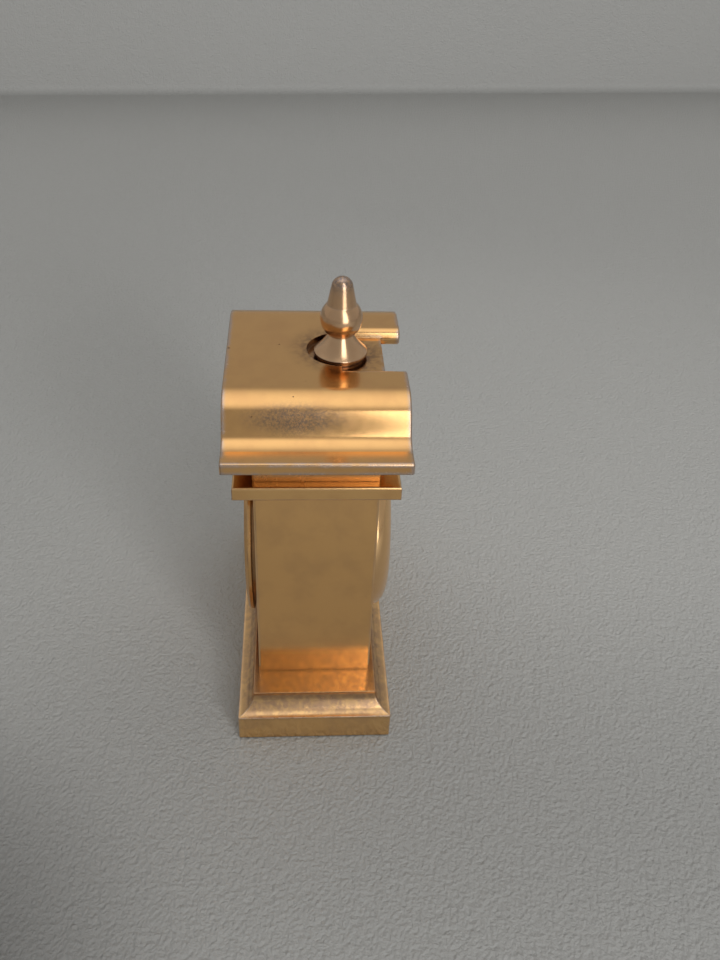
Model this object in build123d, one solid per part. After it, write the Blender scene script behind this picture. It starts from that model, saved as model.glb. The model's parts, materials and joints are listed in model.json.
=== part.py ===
from build123d import *
from math import asin, atan2, cos, degrees, hypot, pi, radians, sin, sqrt
import os

# A small brass desk clock: a stepped base, an upright block bored through for the clock insert,
# a cornice plate, a neck, a curved pediment roof with a turned finial, and a rear cover.
# Millimetres, +Z up. The origin is the middle of the underside. The dial faces -Y.

# Base
base_overhang_side = 7.55
base_overhang_front = 3.4
base_slab_height = 5.2
base_ledge = 0.3
base_cove_inset = 2.55
base_cove_height = 3.4
base_cove_sag_share = 0.2
felt_margin = 1.6
felt_recess = 0.6
felt_proud = 0.2
base_edge_round = 0.3

# Upright body block and its bore
body_depth = 19.0
body_edge_chamfer = 0.25
bore_margin_side = 4.65
bore_margin_below = 3.4
bore_margin_above = 3.3

# Cornice plate and neck
cornice_overhang_side = 1.55
cornice_overhang_front = 3.05
cornice_height = 2.2
cornice_edge_round = 0.35
neck_overhang_front = 0.05
neck_height = 3.4

# Roof
roof_overhang_side = 2.85
roof_overhang_front = 4.5
roof_slab_height = 1.8
roof_slab_round = 0.35
roof_edge_bevel = 0.2
roof_rise = 5.65
roof_shoulder = 11.75
roof_crown_radius = 5.7
roof_cove_radius = 3.6
pediment_setback = 3.2
scroll_thickness = 2.9
slot_half_width = 5.8
slot_depth = 1.15
pocket_radius = 5.4

# Finial
finial_offset = 4.0
finial_foot_radius = 3.8
finial_foot_height = 0.7
finial_flare_radius = 4.24
finial_flare_edge = 0.35
finial_flare_height = 2.9
finial_flare_sag_share = 0.05
finial_neck_radius = 1.96
finial_ball_radius = 3.32
finial_cone_low_radius = 2.3
finial_cone_high_radius = 1.65
finial_cone_height = 3.15
finial_tip_height = 1.35
finial_stud_radius = 1.5
finial_stud_grip = 2.5

# Fasteners of the case
stud_clearance = 0.1
dowel_radius = 1.0
dowel_margin = 3.65
dowel_grip = 5.0
dowel_roof_grip = 1.8
dowel_clearance = 0.02
base_screw_radius = 1.5
base_screw_head_radius = 2.9
base_screw_head_height = 1.6
base_screw_margin = 5.65
base_screw_grip = 6.0
screw_slot_width = 0.6
screw_slot_depth = 0.7

# Rear cover
cover_lap = 1.6
cover_standoff = 0.85
cover_rim = 0.85
cover_step_height = 0.3
cover_step_inset = 1.6
cover_collar_width = 0.2
cover_skirt_length = 4.0
cover_wall = 0.8
cover_edge_bevel = 0.3

# Fits
seat_gap = 0.05
push_fit = 0.06
running_fit = 0.05
cut_overrun = 1.0

# Bezel, lens and dial
bezel_lap = 1.25
bezel_height = 3.05
bezel_round = 3.95
bezel_lip_width = 2.0
bezel_lip = 0.9
bezel_lip_slope = 0.5
gasket_width = 0.35
lens_thickness = 1.2
lens_bevel = 0.3
gasket_gap = 0.02
dial_ring_depth = 2.4
dial_ring_margin = 0.2
dial_ring_taper = 0.6
dial_thickness = 0.4
dial_hole_radius = 1.9
spacer_wall = 0.8
hand_thickness = 0.18
hand_gap = 0.45

# Movement case, a plastic cup
coil_clearance = 0.266
case_shelf = 0.5
case_side = 1.3
case_rim_step = 0.55
case_bore_room = 0.5
case_wall = 1.0
case_rear_room = 1.2
groove_width = 1.6
groove_depth = 0.5
groove_share = 0.5
plate_clearance = 0.05

# Levels of the movement, counted back from the dial
motion_room = 2.3
plate_thickness = 1.0
train_room = 3.4
bridge_thickness = 0.6
level_start = 0.2
level_pitch = 0.8
wheel_thickness = 0.4
pinion_overlap = 0.1
motion_wheel_thickness = 0.5
motion_level_start = 0.15
motion_level_pitch = 0.95

# Teeth, as shares of one tooth's turn or of the module
tooth_root_share = 0.27
tooth_tip_share = 0.11
tooth_addendum_share = 0.85
tooth_dedendum_share = 1.15
wheel_rim_share = 0.78
wheel_hub_share = 0.3
wheel_arm_share = 0.09
wheel_arms = 4

# Going train: rotor, intermediate wheel, seconds wheel, third wheel, centre wheel
rotor_leaves = 6
intermediate_teeth = 30
intermediate_leaves = 6
seconds_teeth = 36
seconds_leaves = 6
third_teeth = 45
third_leaves = 6
centre_teeth = 48
rotor_module = 0.19
seconds_module = 0.22
train_centre_distance = 4.6
third_angle = 180.0
intermediate_angle = 90.0
rotor_angle = 90.0
arbor_radius = 0.25
arbor_shake = 0.05
pivot_radius = 0.15
pivot_length = 0.5
pivot_clearance = 0.05

# Motion work: cannon pinion, minute wheel, hour wheel, setting pinion
cannon_leaves = 8
minute_teeth = 24
minute_leaves = 8
hour_teeth = 32
setting_leaves = 10
minute_module = 0.375
minute_angle = -60.0
setting_angle = 30.0
seconds_arbor_radius = 0.3
centre_tube_radius = 0.68
cannon_tube_radius = 1.08
hour_tube_radius = 1.5
minute_post_radius = 0.6
setting_arbor_radius = 0.6

# Hands
seconds_hand_margin = 1.0
minute_hand_margin = 1.6
hour_hand_shortfall = 3.2
seconds_hand_tail = 3.2
hour_hand_width = 1.5
minute_hand_width = 1.15
seconds_hand_width = 0.35
hand_tip_share = 0.22
tube_lead = 0.11
hand_boss_wall = 0.7

# Stepping motor
magnet_radius = 1.2
magnet_height = 1.4
stator_thickness = 0.7
stator_gap = 0.35
stator_coil_gap = 0.45
stator_lug_width = 1.8
stator_bottom_margin = 0.55
stator_top_margin = 0.35
stator_slit = 0.35
coil_axis_margin = 1.85
coil_radius = 1.25
coil_half_length = 3.6
coil_flange = 0.35
coil_flange_radius = 1.4
coil_core_margin = 0.3
coil_core_width = 1.0
coil_core_thickness = 0.7
coil_tube_wall = 0.2
coil_screw_radius = 0.35
coil_screw_head_radius = 0.75
coil_screw_head = 0.35
coil_post_radius = 0.8

# Battery, contacts and board
battery_radius = 3.4
battery_thickness = 2.6
battery_button_radius = 2.3
battery_button_height = 0.3
cradle_clearance = 0.08
cradle_wall = 0.5
cradle_height = 1.3
cradle_mouth_angle = 78.0
contact_thickness = 0.2
plus_contact_height = 1.4
plus_contact_angle = 38.0
plus_contact_reach = 1.2
plus_contact_place_shares = (0.15, 0.12)
leaf_width = 0.9
board_thickness = 0.6
board_left = 5.0
board_right = 12.0
board_bottom = 0.3
board_top = 5.6
chip_size = 2.2
chip_height = 0.7
chip_place_shares = (0.7, 0.72)
crystal_radius = 0.75
crystal_length = 4.6
crystal_place_shares = (0.3, 0.25)

# Bridge
bridge_post_radius = 0.9
bridge_pad_radius = 1.5
bridge_screw_radius = 0.45
bridge_screw_head_radius = 0.95
bridge_screw_head = 0.4
bridge_posts = ((-8.4, 4.2), (-5.0, -5.4), (4.9, -2.9))

# Battery hatch and setting knob
hatch_radius = 4.1
hatch_margin = 0.7
hatch_flange = 0.5
hatch_flange_height = 0.45
hatch_boss_radius = 2.8
hatch_slot_width = 1.0
hatch_slot_depth = 0.8
knob_radius = 4.0
knob_height = 2.8
knob_gap = 0.3
knob_flutes = 12
knob_flute_radius = 0.45
knob_dish_depth = 0.5
knob_dish_radius = 2.6

# Distances between arbors
third_pinion_module = 2 * train_centre_distance / (centre_teeth + third_leaves)
third_wheel_module = 2 * train_centre_distance / (third_teeth + seconds_leaves)
intermediate_distance = seconds_module * (seconds_teeth + intermediate_leaves) / 2
rotor_distance = rotor_module * (intermediate_teeth + rotor_leaves) / 2
minute_distance = minute_module * (minute_teeth + cannon_leaves) / 2
hour_module = 2 * minute_distance / (hour_teeth + minute_leaves)
setting_distance = minute_module * (minute_teeth + setting_leaves) / 2


def polar(radius, angle, centre=(0, 0)):
    """The point at that radius and angle, in degrees, from the centre."""
    return (centre[0] + radius * cos(radians(angle)), centre[1] + radius * sin(radians(angle)))


# Places of the arbors and the coil, counted from the clock's axis
centre_place = (0, 0)
third_place = polar(train_centre_distance, third_angle)
intermediate_place = polar(intermediate_distance, intermediate_angle)
rotor_place = polar(rotor_distance, rotor_angle, intermediate_place)
minute_place = polar(minute_distance, minute_angle)
setting_place = polar(setting_distance, setting_angle, minute_place)
coil_height = rotor_place[1] + magnet_radius + stator_gap + coil_axis_margin
stator_half_width = coil_half_length + coil_flange + stator_coil_gap + stator_lug_width
coil_core_half_length = stator_half_width - coil_core_margin

# Radii of the insert, worked out outwards from the coil's far corner
coil_corner = hypot(coil_half_length + coil_flange, coil_height + coil_flange_radius)
case_floor_radius = coil_corner + coil_clearance
case_bore_radius = case_floor_radius + case_shelf
case_radius = case_bore_radius + case_side
plate_radius = case_bore_radius - plate_clearance
bezel_rebate_radius = case_radius - case_rim_step
case_rim_radius = bezel_rebate_radius - seat_gap
lens_radius = bezel_rebate_radius - gasket_width
bezel_opening_radius = lens_radius - bezel_lip_width
dial_ring_front_radius = bezel_opening_radius + dial_ring_margin
dial_ring_back_radius = dial_ring_front_radius - dial_ring_taper
bore_radius = case_radius + case_bore_room
bezel_radius = bore_radius + bezel_lap
cover_radius = bore_radius + cover_lap
seconds_hand_length = dial_ring_back_radius - seconds_hand_margin
minute_hand_length = dial_ring_back_radius - minute_hand_margin
hour_hand_length = minute_hand_length - hour_hand_shortfall
battery_place = (0, hatch_radius + hatch_margin - case_floor_radius)

# Widths and depths of the case, worked out outwards from its bore
body_width = 2 * (bore_radius + bore_margin_side)
body_height = bore_margin_below + 2 * bore_radius + bore_margin_above
base_width = body_width + 2 * base_overhang_side
base_depth = body_depth + 2 * base_overhang_front
cornice_width = body_width + 2 * cornice_overhang_side
cornice_depth = body_depth + 2 * cornice_overhang_front
neck_width = body_width
neck_depth = body_depth + 2 * neck_overhang_front
roof_width = body_width + 2 * roof_overhang_side
roof_depth = body_depth + 2 * roof_overhang_front
roof_flat_half_width = roof_width / 2 - roof_shoulder
dowel_spread = body_width - 2 * dowel_margin
base_screw_spread = body_width - 2 * base_screw_margin

# Heights of the case, worked out upwards from the underside
base_top = base_slab_height + base_cove_height
clock_axis_height = base_top + bore_margin_below + bore_radius
body_top = base_top + body_height
cornice_top = body_top + cornice_height
neck_top = cornice_top + neck_height
slab_top = neck_top + roof_slab_height
roof_top = slab_top + roof_rise
slot_floor = roof_top - slot_depth
scroll_radius = scroll_thickness / 2

# Places along Y, worked out backwards from the bezel's face
body_front = -body_depth / 2
body_rear = body_depth / 2
bezel_back = body_front - seat_gap
bezel_face = bezel_back - bezel_height
lip_back = bezel_face + bezel_lip
lens_back = lip_back + lens_thickness
dial_front = lens_back + dial_ring_depth
dial_back = dial_front + dial_thickness
plate_front = dial_back + motion_room
plate_back = plate_front + plate_thickness
bridge_front = plate_back + train_room
bridge_back = bridge_front + bridge_thickness
case_floor = bridge_back + case_rear_room
case_back = case_floor + case_wall
knob_front = case_back + knob_gap


def dial_plane(y, place=(0, 0)):
    """A plane square to the clock's axis that faces the front, at a place counted from that axis."""
    return Plane(
        origin=(place[0], y, clock_axis_height + place[1]), x_dir=(1, 0, 0), z_dir=(0, -1, 0)
    )


def slice_of(sketch, front, back, place=(0, 0)):
    """The sketch made solid between two places along Y."""
    return extrude(dial_plane(back, place) * sketch, amount=back - front)


def disc(radius, front, back, place=(0, 0)):
    return slice_of(Circle(radius), front, back, place)


def ring(outer, inner, front, back, place=(0, 0)):
    return slice_of(Circle(outer) - Circle(inner), front, back, place)


def turned(outline, place=(0, 0)):
    """A closed outline of (radius, Y) turned about an axis along Y."""
    centre = (place[0], 0, clock_axis_height + place[1])
    face = Plane(origin=centre) * make_face(outline)
    return revolve(face, axis=Axis(centre, (0, 1, 0)))


def turned_points(points, place=(0, 0)):
    return turned(Polyline(*points, close=True), place)


def arc_about(centre, radius, start, end):
    """A circular arc about a centre, from one angle to another, in degrees."""
    middle = (start + end) / 2
    return ThreePointArc(
        polar(radius, start, centre), polar(radius, middle, centre), polar(radius, end, centre)
    )


def cap_arc(radius, edge, apex):
    """An arc from the edge of a cap to its apex, centred on the turning axis."""
    rise = apex - edge
    sphere = (radius**2 + rise**2) / (2 * rise)
    middle = asin(radius / sphere) / 2
    point = (abs(sphere * sin(middle)), apex - sphere + sphere * cos(middle))
    return ThreePointArc((radius, edge), point, (0, apex))


def gear_outline(teeth, module, phase):
    """Flat-topped teeth round a pitch circle; one tooth is centred on the phase angle."""
    pitch_radius = module * teeth / 2
    tip = pitch_radius + module * tooth_addendum_share
    root = pitch_radius - module * tooth_dedendum_share
    turn = 360 / teeth
    corners = (
        (root, -tooth_root_share),
        (tip, -tooth_tip_share),
        (tip, tooth_tip_share),
        (root, tooth_root_share),
    )
    points = [
        polar(radius, phase + turn * (number + share))
        for number in range(teeth)
        for radius, share in corners
    ]
    return make_face(Polyline(*points, close=True))


def mesh_phase(phase, teeth, direction, other_teeth):
    """The phase of a gear that stands in that direction, so that its teeth fit those of the first."""
    return direction + 180 + 180 / other_teeth - (phase - direction) * teeth / other_teeth


def windows(pitch_radius, hub_radius):
    """The openings between the arms of a wheel."""
    outer = pitch_radius * wheel_rim_share
    arm = pitch_radius * wheel_arm_share
    open_ring = Circle(outer) - Circle(hub_radius + arm)
    for number in range(wheel_arms // 2):
        open_ring -= Rotation(0, 0, number * 360 / wheel_arms) * Rectangle(2 * outer, 2 * arm)
    return open_ring


def plain_wheel(teeth, module, phase, level, place):
    """A moulded wheel, a plain toothed disc."""
    return slice_of(gear_outline(teeth, module, phase), level, level + wheel_thickness, place)


def spoked_wheel(teeth, module, phase, level, hub_radius):
    """A stamped brass wheel with arms, on the clock's axis."""
    sketch = gear_outline(teeth, module, phase) - windows(teeth * module / 2, hub_radius)
    return slice_of(sketch, level, level + wheel_thickness)


def train_level(number):
    """The front face of a wheel of the going train."""
    return plate_back + level_start + number * level_pitch


def pinion(leaves, module, phase, level, place, thickness=wheel_thickness):
    """A small gear, a little longer than the wheel that it meets."""
    sketch = gear_outline(leaves, module, phase)
    return slice_of(sketch, level - pinion_overlap, level + thickness + pinion_overlap, place)


def arbor(place):
    """A shaft between the plate and the bridge, with a thinner pivot at each end."""
    shaft = disc(arbor_radius, plate_back + arbor_shake, bridge_front - arbor_shake, place)
    return shaft + disc(pivot_radius, plate_back - pivot_length, bridge_front + pivot_length, place)


def box_between(low, high):
    """A block from its lowest corner to its highest."""
    size = [high[i] - low[i] for i in range(3)]
    middle = [(high[i] + low[i]) / 2 for i in range(3)]
    return Pos(*middle) * Box(*size)


def moulded_outline(half_width):
    """One side view of the base: slab, ledge and hollow cove, symmetrical about the middle."""
    low = felt_proud
    shoulder = (half_width - base_ledge, base_slab_height)
    neck = (half_width - base_cove_inset, base_top)
    sag = hypot(shoulder[0] - neck[0], shoulder[1] - neck[1]) * base_cove_sag_share
    right = [
        Line((0, low), (half_width, low)),
        Line((half_width, low), (half_width, base_slab_height)),
        Line((half_width, base_slab_height), shoulder),
        SagittaArc(shoulder, neck, sag),
        Line(neck, (0, base_top)),
        Line((0, base_top), (0, low)),
    ]
    half = make_face(right)
    return half + mirror(half, about=Plane.YZ)


def base_screw_places():
    return [(side * base_screw_spread / 2, 0) for side in (-1, 1)]


def dowel_places():
    return [(side * dowel_spread / 2, 0) for side in (-1, 1)]


def column(radius, low, high, place):
    """An upright round bar."""
    return Pos(place[0], place[1], low) * extrude(Circle(radius), amount=high - low)


def head_cone(low, place):
    """The countersink of a base screw, wide side down."""
    cone = Pos(0, 0, low + base_screw_head_height / 2) * Cone(
        base_screw_head_radius, base_screw_radius, base_screw_head_height
    )
    return Pos(place[0], place[1], 0) * cone


def make_base_plinth():
    """Slab and cove with mitred corners: the side view and the front view, crossed."""
    front_view = Plane(origin=(0, base_depth / 2, 0), x_dir=(1, 0, 0), z_dir=(0, -1, 0))
    side_view = Plane(origin=(-base_width / 2, 0, 0), x_dir=(0, 1, 0), z_dir=(1, 0, 0))
    along_y = extrude(front_view * moulded_outline(base_width / 2), amount=base_depth)
    along_x = extrude(side_view * moulded_outline(base_depth / 2), amount=base_width)
    solid = along_y & along_x
    corners = solid.edges().filter_by(Axis.Z).group_by(SortBy.LENGTH)[-1]
    solid = fillet(corners, base_edge_round)
    recess_width = base_width - 2 * felt_margin
    recess_depth = base_depth - 2 * felt_margin
    recess_top = felt_recess + felt_proud
    recess = box_between(
        (-recess_width / 2, -recess_depth / 2, -cut_overrun),
        (recess_width / 2, recess_depth / 2, recess_top),
    )
    solid -= recess
    for place in base_screw_places():
        solid -= head_cone(recess_top, place)
        solid -= column(base_screw_radius + stud_clearance, recess_top, base_top + cut_overrun, place)
    return solid


def make_base_felt():
    """The pad in the underside's recess, standing a little proud of the brass."""
    width = base_width - 2 * felt_margin - 2 * stud_clearance
    depth = base_depth - 2 * felt_margin - 2 * stud_clearance
    pad = extrude(Rectangle(width, depth), amount=felt_recess + felt_proud)
    return fillet(pad.edges().filter_by(Axis.Z), base_edge_round)


def make_base_screws():
    """Two countersunk screws from the underside into the body block."""
    low = felt_recess + felt_proud
    high = base_top + base_screw_grip
    solids = []
    for place in base_screw_places():
        screw = head_cone(low, place) + column(base_screw_radius, low, high, place)
        slot = box_between(
            (-base_screw_head_radius, -screw_slot_width / 2, low - cut_overrun),
            (base_screw_head_radius, screw_slot_width / 2, low + screw_slot_depth),
        )
        solids.append(screw - Pos(place[0], place[1], 0) * slot)
    return Compound(children=solids)


def make_body_block():
    """The upright block, bored through from front to back for the clock insert."""
    block = box_between(
        (-body_width / 2, body_front, base_top), (body_width / 2, body_rear, body_top)
    )
    block = chamfer(block.edges().filter_by(Axis.Z), body_edge_chamfer)
    block -= disc(bore_radius, body_front - cut_overrun, body_rear + cut_overrun)
    for place in base_screw_places():
        block -= column(base_screw_radius, base_top - cut_overrun, base_top + base_screw_grip, place)
    for place in dowel_places():
        radius = dowel_radius + dowel_clearance
        block -= column(radius, body_top - dowel_grip, body_top + cut_overrun, place)
    low = body_top - finial_stud_grip
    return block - column(finial_stud_radius, low, body_top + cut_overrun, (0, -finial_offset))


def drilled(solid, low, high):
    """The holes that the dowels and the finial's stud pass through."""
    for place in dowel_places():
        solid -= column(dowel_radius + dowel_clearance, low, high, place)
    radius = finial_stud_radius + stud_clearance
    return solid - column(radius, low, high, (0, -finial_offset))


def make_cornice_plate():
    """The flat plate over the body, its edges softened."""
    plate = box_between(
        (-cornice_width / 2, -cornice_depth / 2, body_top),
        (cornice_width / 2, cornice_depth / 2, cornice_top),
    )
    upper = plate.faces().sort_by(Axis.Z)[-1].edges()
    plate = fillet(upper, cornice_edge_round)
    return drilled(plate, body_top - cut_overrun, cornice_top + cut_overrun)


def make_neck_block():
    """The set-back block between the cornice plate and the roof."""
    block = box_between(
        (-neck_width / 2, -neck_depth / 2, cornice_top), (neck_width / 2, neck_depth / 2, neck_top)
    )
    block = chamfer(block.edges().filter_by(Axis.Z), body_edge_chamfer)
    return drilled(block, cornice_top - cut_overrun, neck_top + cut_overrun)


def roof_curve_centres():
    """Centres of the convex crown and of the hollow cove, whose arcs touch each other."""
    crown = (roof_flat_half_width, roof_top - roof_crown_radius)
    cove_height = slab_top + roof_cove_radius
    reach = sqrt((roof_crown_radius + roof_cove_radius) ** 2 - (cove_height - crown[1]) ** 2)
    return crown, (crown[0] + reach, cove_height)


def roof_curve_angle():
    """The direction from the crown's centre to the cove's."""
    crown, cove = roof_curve_centres()
    return degrees(atan2(cove[1] - crown[1], cove[0] - crown[0]))


def roof_outline():
    """Front view of the whole roof: slab, cove, crown and flat top, right half."""
    crown, cove = roof_curve_centres()
    turn = roof_curve_angle()
    edge = roof_width / 2
    lines = [
        Line((0, neck_top), (edge, neck_top)),
        Line((edge, neck_top), (edge, slab_top - roof_slab_round)),
        arc_about((edge - roof_slab_round, slab_top - roof_slab_round), roof_slab_round, 0, 90),
        Line((edge - roof_slab_round, slab_top), (cove[0], slab_top)),
        arc_about(cove, roof_cove_radius, 270, 180 + turn),
        arc_about(crown, roof_crown_radius, turn, 90),
        Line((crown[0], roof_top), (0, roof_top)),
        Line((0, roof_top), (0, neck_top)),
    ]
    return make_face(lines)


def scroll_outline():
    """Front view of the right-hand moulding: the roof's line, kept to one thickness, round ended."""
    crown, cove = roof_curve_centres()
    turn = roof_curve_angle()
    edge = roof_width / 2
    tip = (slot_half_width + scroll_radius, roof_top - scroll_radius)
    inner_crown = roof_crown_radius - scroll_thickness
    inner_cove = roof_cove_radius + scroll_thickness
    foot_turn = degrees(asin((cove[1] - neck_top) / inner_cove))
    foot = polar(inner_cove, 180 + foot_turn, cove)
    lines = [
        Line(foot, (edge, neck_top)),
        Line((edge, neck_top), (edge, slab_top - roof_slab_round)),
        arc_about((edge - roof_slab_round, slab_top - roof_slab_round), roof_slab_round, 0, 90),
        Line((edge - roof_slab_round, slab_top), (cove[0], slab_top)),
        arc_about(cove, roof_cove_radius, 270, 180 + turn),
        arc_about(crown, roof_crown_radius, turn, 90),
        Line((crown[0], roof_top), (tip[0], roof_top)),
        arc_about(tip, scroll_radius, 90, 270),
        Line((tip[0], roof_top - scroll_thickness), (crown[0], roof_top - scroll_thickness)),
        arc_about(crown, inner_crown, 90, turn),
        arc_about(cove, inner_cove, 180 + turn, 180 + foot_turn),
    ]
    return make_face(lines)


def slot_outline():
    """Section of the slot in the top, right half: a level floor and a rolled edge."""
    roll = (slot_half_width + scroll_radius, roof_top - scroll_radius)
    lift = slot_floor - roll[1]
    start = 180 - degrees(asin(lift / scroll_radius))
    corner = polar(scroll_radius, start, roll)
    above = roof_top + cut_overrun
    lines = [
        Line((0, slot_floor), corner),
        arc_about(roll, scroll_radius, start, 90),
        Line((roll[0], roof_top), (roll[0], above)),
        Line((roll[0], above), (0, above)),
        Line((0, above), (0, slot_floor)),
    ]
    return make_face(lines)


def upright_plane(y):
    """The XZ plane at a place along Y, facing the front."""
    return Plane(origin=(0, y, 0), x_dir=(1, 0, 0), z_dir=(0, -1, 0))


def both_sides(solid):
    return solid + mirror(solid, about=Plane.YZ)


def make_roof_pediment():
    """The roof block, its two projecting scroll mouldings and the slot for the finial."""
    front, back = -roof_depth / 2, roof_depth / 2
    field = front + pediment_setback
    roof = both_sides(extrude(upright_plane(back) * roof_outline(), amount=back - field))
    roof += both_sides(extrude(upright_plane(field) * scroll_outline(), amount=pediment_setback))
    ends = roof.faces().sort_by(Axis.Y)
    rear_edges = ends[-1].edges().filter_by(lambda edge: edge.center().Z > neck_top + roof_slab_round)
    front_edges = [edge for face in ends[:2] for edge in face.edges()]
    front_edges = [edge for edge in front_edges if edge.center().Z > neck_top + roof_slab_round]
    roof = chamfer([*rear_edges, *front_edges], roof_edge_bevel)
    slot_length = -finial_offset - (field - cut_overrun)
    slot = extrude(upright_plane(-finial_offset) * slot_outline(), amount=slot_length)
    slot &= box_between((0, field, neck_top), (roof_width, back, roof_top + cut_overrun))
    roof -= both_sides(slot)
    roof -= column(pocket_radius, slot_floor, roof_top + cut_overrun, (0, -finial_offset))
    dowel_high = neck_top + dowel_roof_grip
    for place in dowel_places():
        roof -= column(dowel_radius + dowel_clearance, neck_top - cut_overrun, dowel_high, place)
    radius = finial_stud_radius + stud_clearance
    return roof - column(radius, neck_top - cut_overrun, roof_top, (0, -finial_offset))


def make_dowel_pins():
    """Two pins that keep body, cornice, neck and roof in line."""
    low = body_top - dowel_grip + seat_gap
    high = neck_top + dowel_roof_grip - seat_gap
    return Compound(children=[column(dowel_radius, low, high, place) for place in dowel_places()])


def finial_outline():
    """Half outline of the finial above its stud: foot, flare, ball, cone and rounded tip."""
    foot_top = slot_floor + finial_foot_height
    flare_top = foot_top + finial_flare_edge
    neck = flare_top + finial_flare_height
    ball = neck + sqrt(finial_ball_radius**2 - finial_neck_radius**2)
    crease = ball + sqrt(finial_ball_radius**2 - finial_cone_low_radius**2)
    cone_top = crease + finial_cone_height
    tip = cone_top + finial_tip_height
    flare_start = (finial_flare_radius, flare_top)
    neck_point = (finial_neck_radius, neck)
    chord = hypot(flare_start[0] - neck_point[0], flare_start[1] - neck_point[1])
    ball_middle = (finial_ball_radius, ball)
    return [
        Line((0, slot_floor), (finial_foot_radius, slot_floor)),
        Line((finial_foot_radius, slot_floor), (finial_foot_radius, foot_top)),
        Line((finial_foot_radius, foot_top), (finial_flare_radius, foot_top)),
        Line((finial_flare_radius, foot_top), flare_start),
        SagittaArc(flare_start, neck_point, chord * finial_flare_sag_share),
        ThreePointArc(neck_point, ball_middle, (finial_cone_low_radius, crease)),
        Line((finial_cone_low_radius, crease), (finial_cone_high_radius, cone_top)),
        cap_arc(finial_cone_high_radius, cone_top, tip),
        Line((0, tip), (0, slot_floor)),
    ]


def make_finial():
    """The turned finial with the stud that clamps roof, neck and cornice to the body."""
    face = upright_plane(-finial_offset) * make_face(finial_outline())
    shape = revolve(face, axis=Axis((0, -finial_offset, 0), (0, 0, 1)))
    low = body_top - finial_stud_grip + seat_gap
    return shape + column(finial_stud_radius, low, slot_floor, (0, -finial_offset))


def make_rear_cover():
    """A turned cap: a rim that stands off the body, a low crown, a collar and a push-fit skirt."""
    skirt_radius = bore_radius - push_fit
    rim_front = body_rear + cover_standoff
    rim_back = rim_front + cover_rim
    collar = bore_radius + cover_collar_width
    skirt_front = rim_front - cover_skirt_length
    inner = skirt_radius - cover_wall
    edge = cover_radius - cover_edge_bevel
    step = cover_radius - cover_step_inset
    face = rim_back + cover_step_height
    points = [
        (0, rim_front),
        (inner, rim_front),
        (inner, skirt_front),
        (skirt_radius, skirt_front),
        (skirt_radius, body_rear + seat_gap),
        (collar, body_rear + seat_gap),
        (collar, rim_front),
        (cover_radius, rim_front),
        (cover_radius, rim_back - cover_edge_bevel),
        (edge, rim_back),
        (step, rim_back),
        (step - cover_step_height, face),
        (0, face),
    ]
    return turned_points(points)


def make_bezel():
    """The turned ring round the glass: a full quarter round outside, a sloping lip inside."""
    crest = bezel_radius - bezel_round
    rebate = bezel_rebate_radius
    lip_front = bezel_face + bezel_lip_slope
    outline = [
        EllipticalCenterArc((crest, bezel_back), bezel_round, bezel_height, 270, arc_size=90),
        Line((bezel_radius, bezel_back), (rebate, bezel_back)),
        Line((rebate, bezel_back), (rebate, lip_back)),
        Line((rebate, lip_back), (bezel_opening_radius, lip_back)),
        Line((bezel_opening_radius, lip_back), (bezel_opening_radius, lip_front)),
        Line((bezel_opening_radius, lip_front), (crest, bezel_face)),
    ]
    return turned(outline)


def make_lens():
    """The glass: a flat disc with a raised middle that stands in the bezel's opening."""
    raised = bezel_opening_radius - lens_bevel
    front = lip_back - lens_bevel
    points = [
        (0, lens_back),
        (lens_radius, lens_back),
        (lens_radius, lip_back),
        (raised, lip_back),
        (raised - lens_bevel, front),
        (0, front),
    ]
    return turned_points(points)


def make_lens_gasket():
    return ring(bezel_rebate_radius - gasket_gap, lens_radius + gasket_gap, lip_back, lens_back)


def make_dial_ring():
    """The sloping ring between the glass and the dial."""
    outer = case_bore_radius - plate_clearance
    points = [
        (dial_ring_front_radius, lens_back),
        (outer, lens_back),
        (outer, dial_front),
        (dial_ring_back_radius, dial_front),
    ]
    return turned_points(points)


def make_dial():
    return ring(plate_radius, dial_hole_radius, dial_front, dial_back)


def make_dial_spacer():
    return ring(plate_radius, plate_radius - spacer_wall, dial_back, plate_front)


def make_movement_case():
    """The cup that carries the movement: rim, shoulder, sealing groove and a floor with two holes."""
    groove_front = bezel_back + (plate_back - bezel_back) * groove_share - groove_width / 2
    groove_back = groove_front + groove_width
    groove_radius = case_radius - groove_depth
    points = [
        (0, case_floor),
        (case_floor_radius, case_floor),
        (case_floor_radius, plate_back),
        (case_bore_radius, plate_back),
        (case_bore_radius, lens_back),
        (case_rim_radius, lens_back),
        (case_rim_radius, bezel_back),
        (case_radius, bezel_back),
        (case_radius, groove_front),
        (groove_radius, groove_front),
        (groove_radius, groove_back),
        (case_radius, groove_back),
        (case_radius, case_back),
        (0, case_back),
    ]
    cup = turned_points(points)
    front, back = case_floor - cut_overrun, case_back + cut_overrun
    cup -= disc(setting_arbor_radius + running_fit, front, back, setting_place)
    return cup - disc(hatch_radius + running_fit, front, back, battery_place)


def make_retaining_ring():
    """The rubber band in the case's groove that grips the bore."""
    groove_front = bezel_back + (plate_back - bezel_back) * groove_share - groove_width / 2
    front = groove_front + seat_gap
    back = groove_front + groove_width - seat_gap
    low = case_radius - groove_depth + dowel_clearance
    high = bore_radius - push_fit
    bevel = groove_depth / 2
    points = [
        (low, front),
        (low, back),
        (high - bevel, back),
        (high, back - bevel),
        (high, front + bevel),
        (high - bevel, front),
    ]
    return turned_points(points)


def bearing(front, back, place):
    """The hole that a train pivot runs in."""
    return disc(pivot_radius + pivot_clearance, front - cut_overrun, back + cut_overrun, place)


def train_places():
    """The arbors that run between the plate and the bridge."""
    return (third_place, intermediate_place, rotor_place)


def coil_screw_places():
    x = stator_half_width - stator_lug_width / 2
    return [(side * x, coil_height) for side in (-1, 1)]


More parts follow.
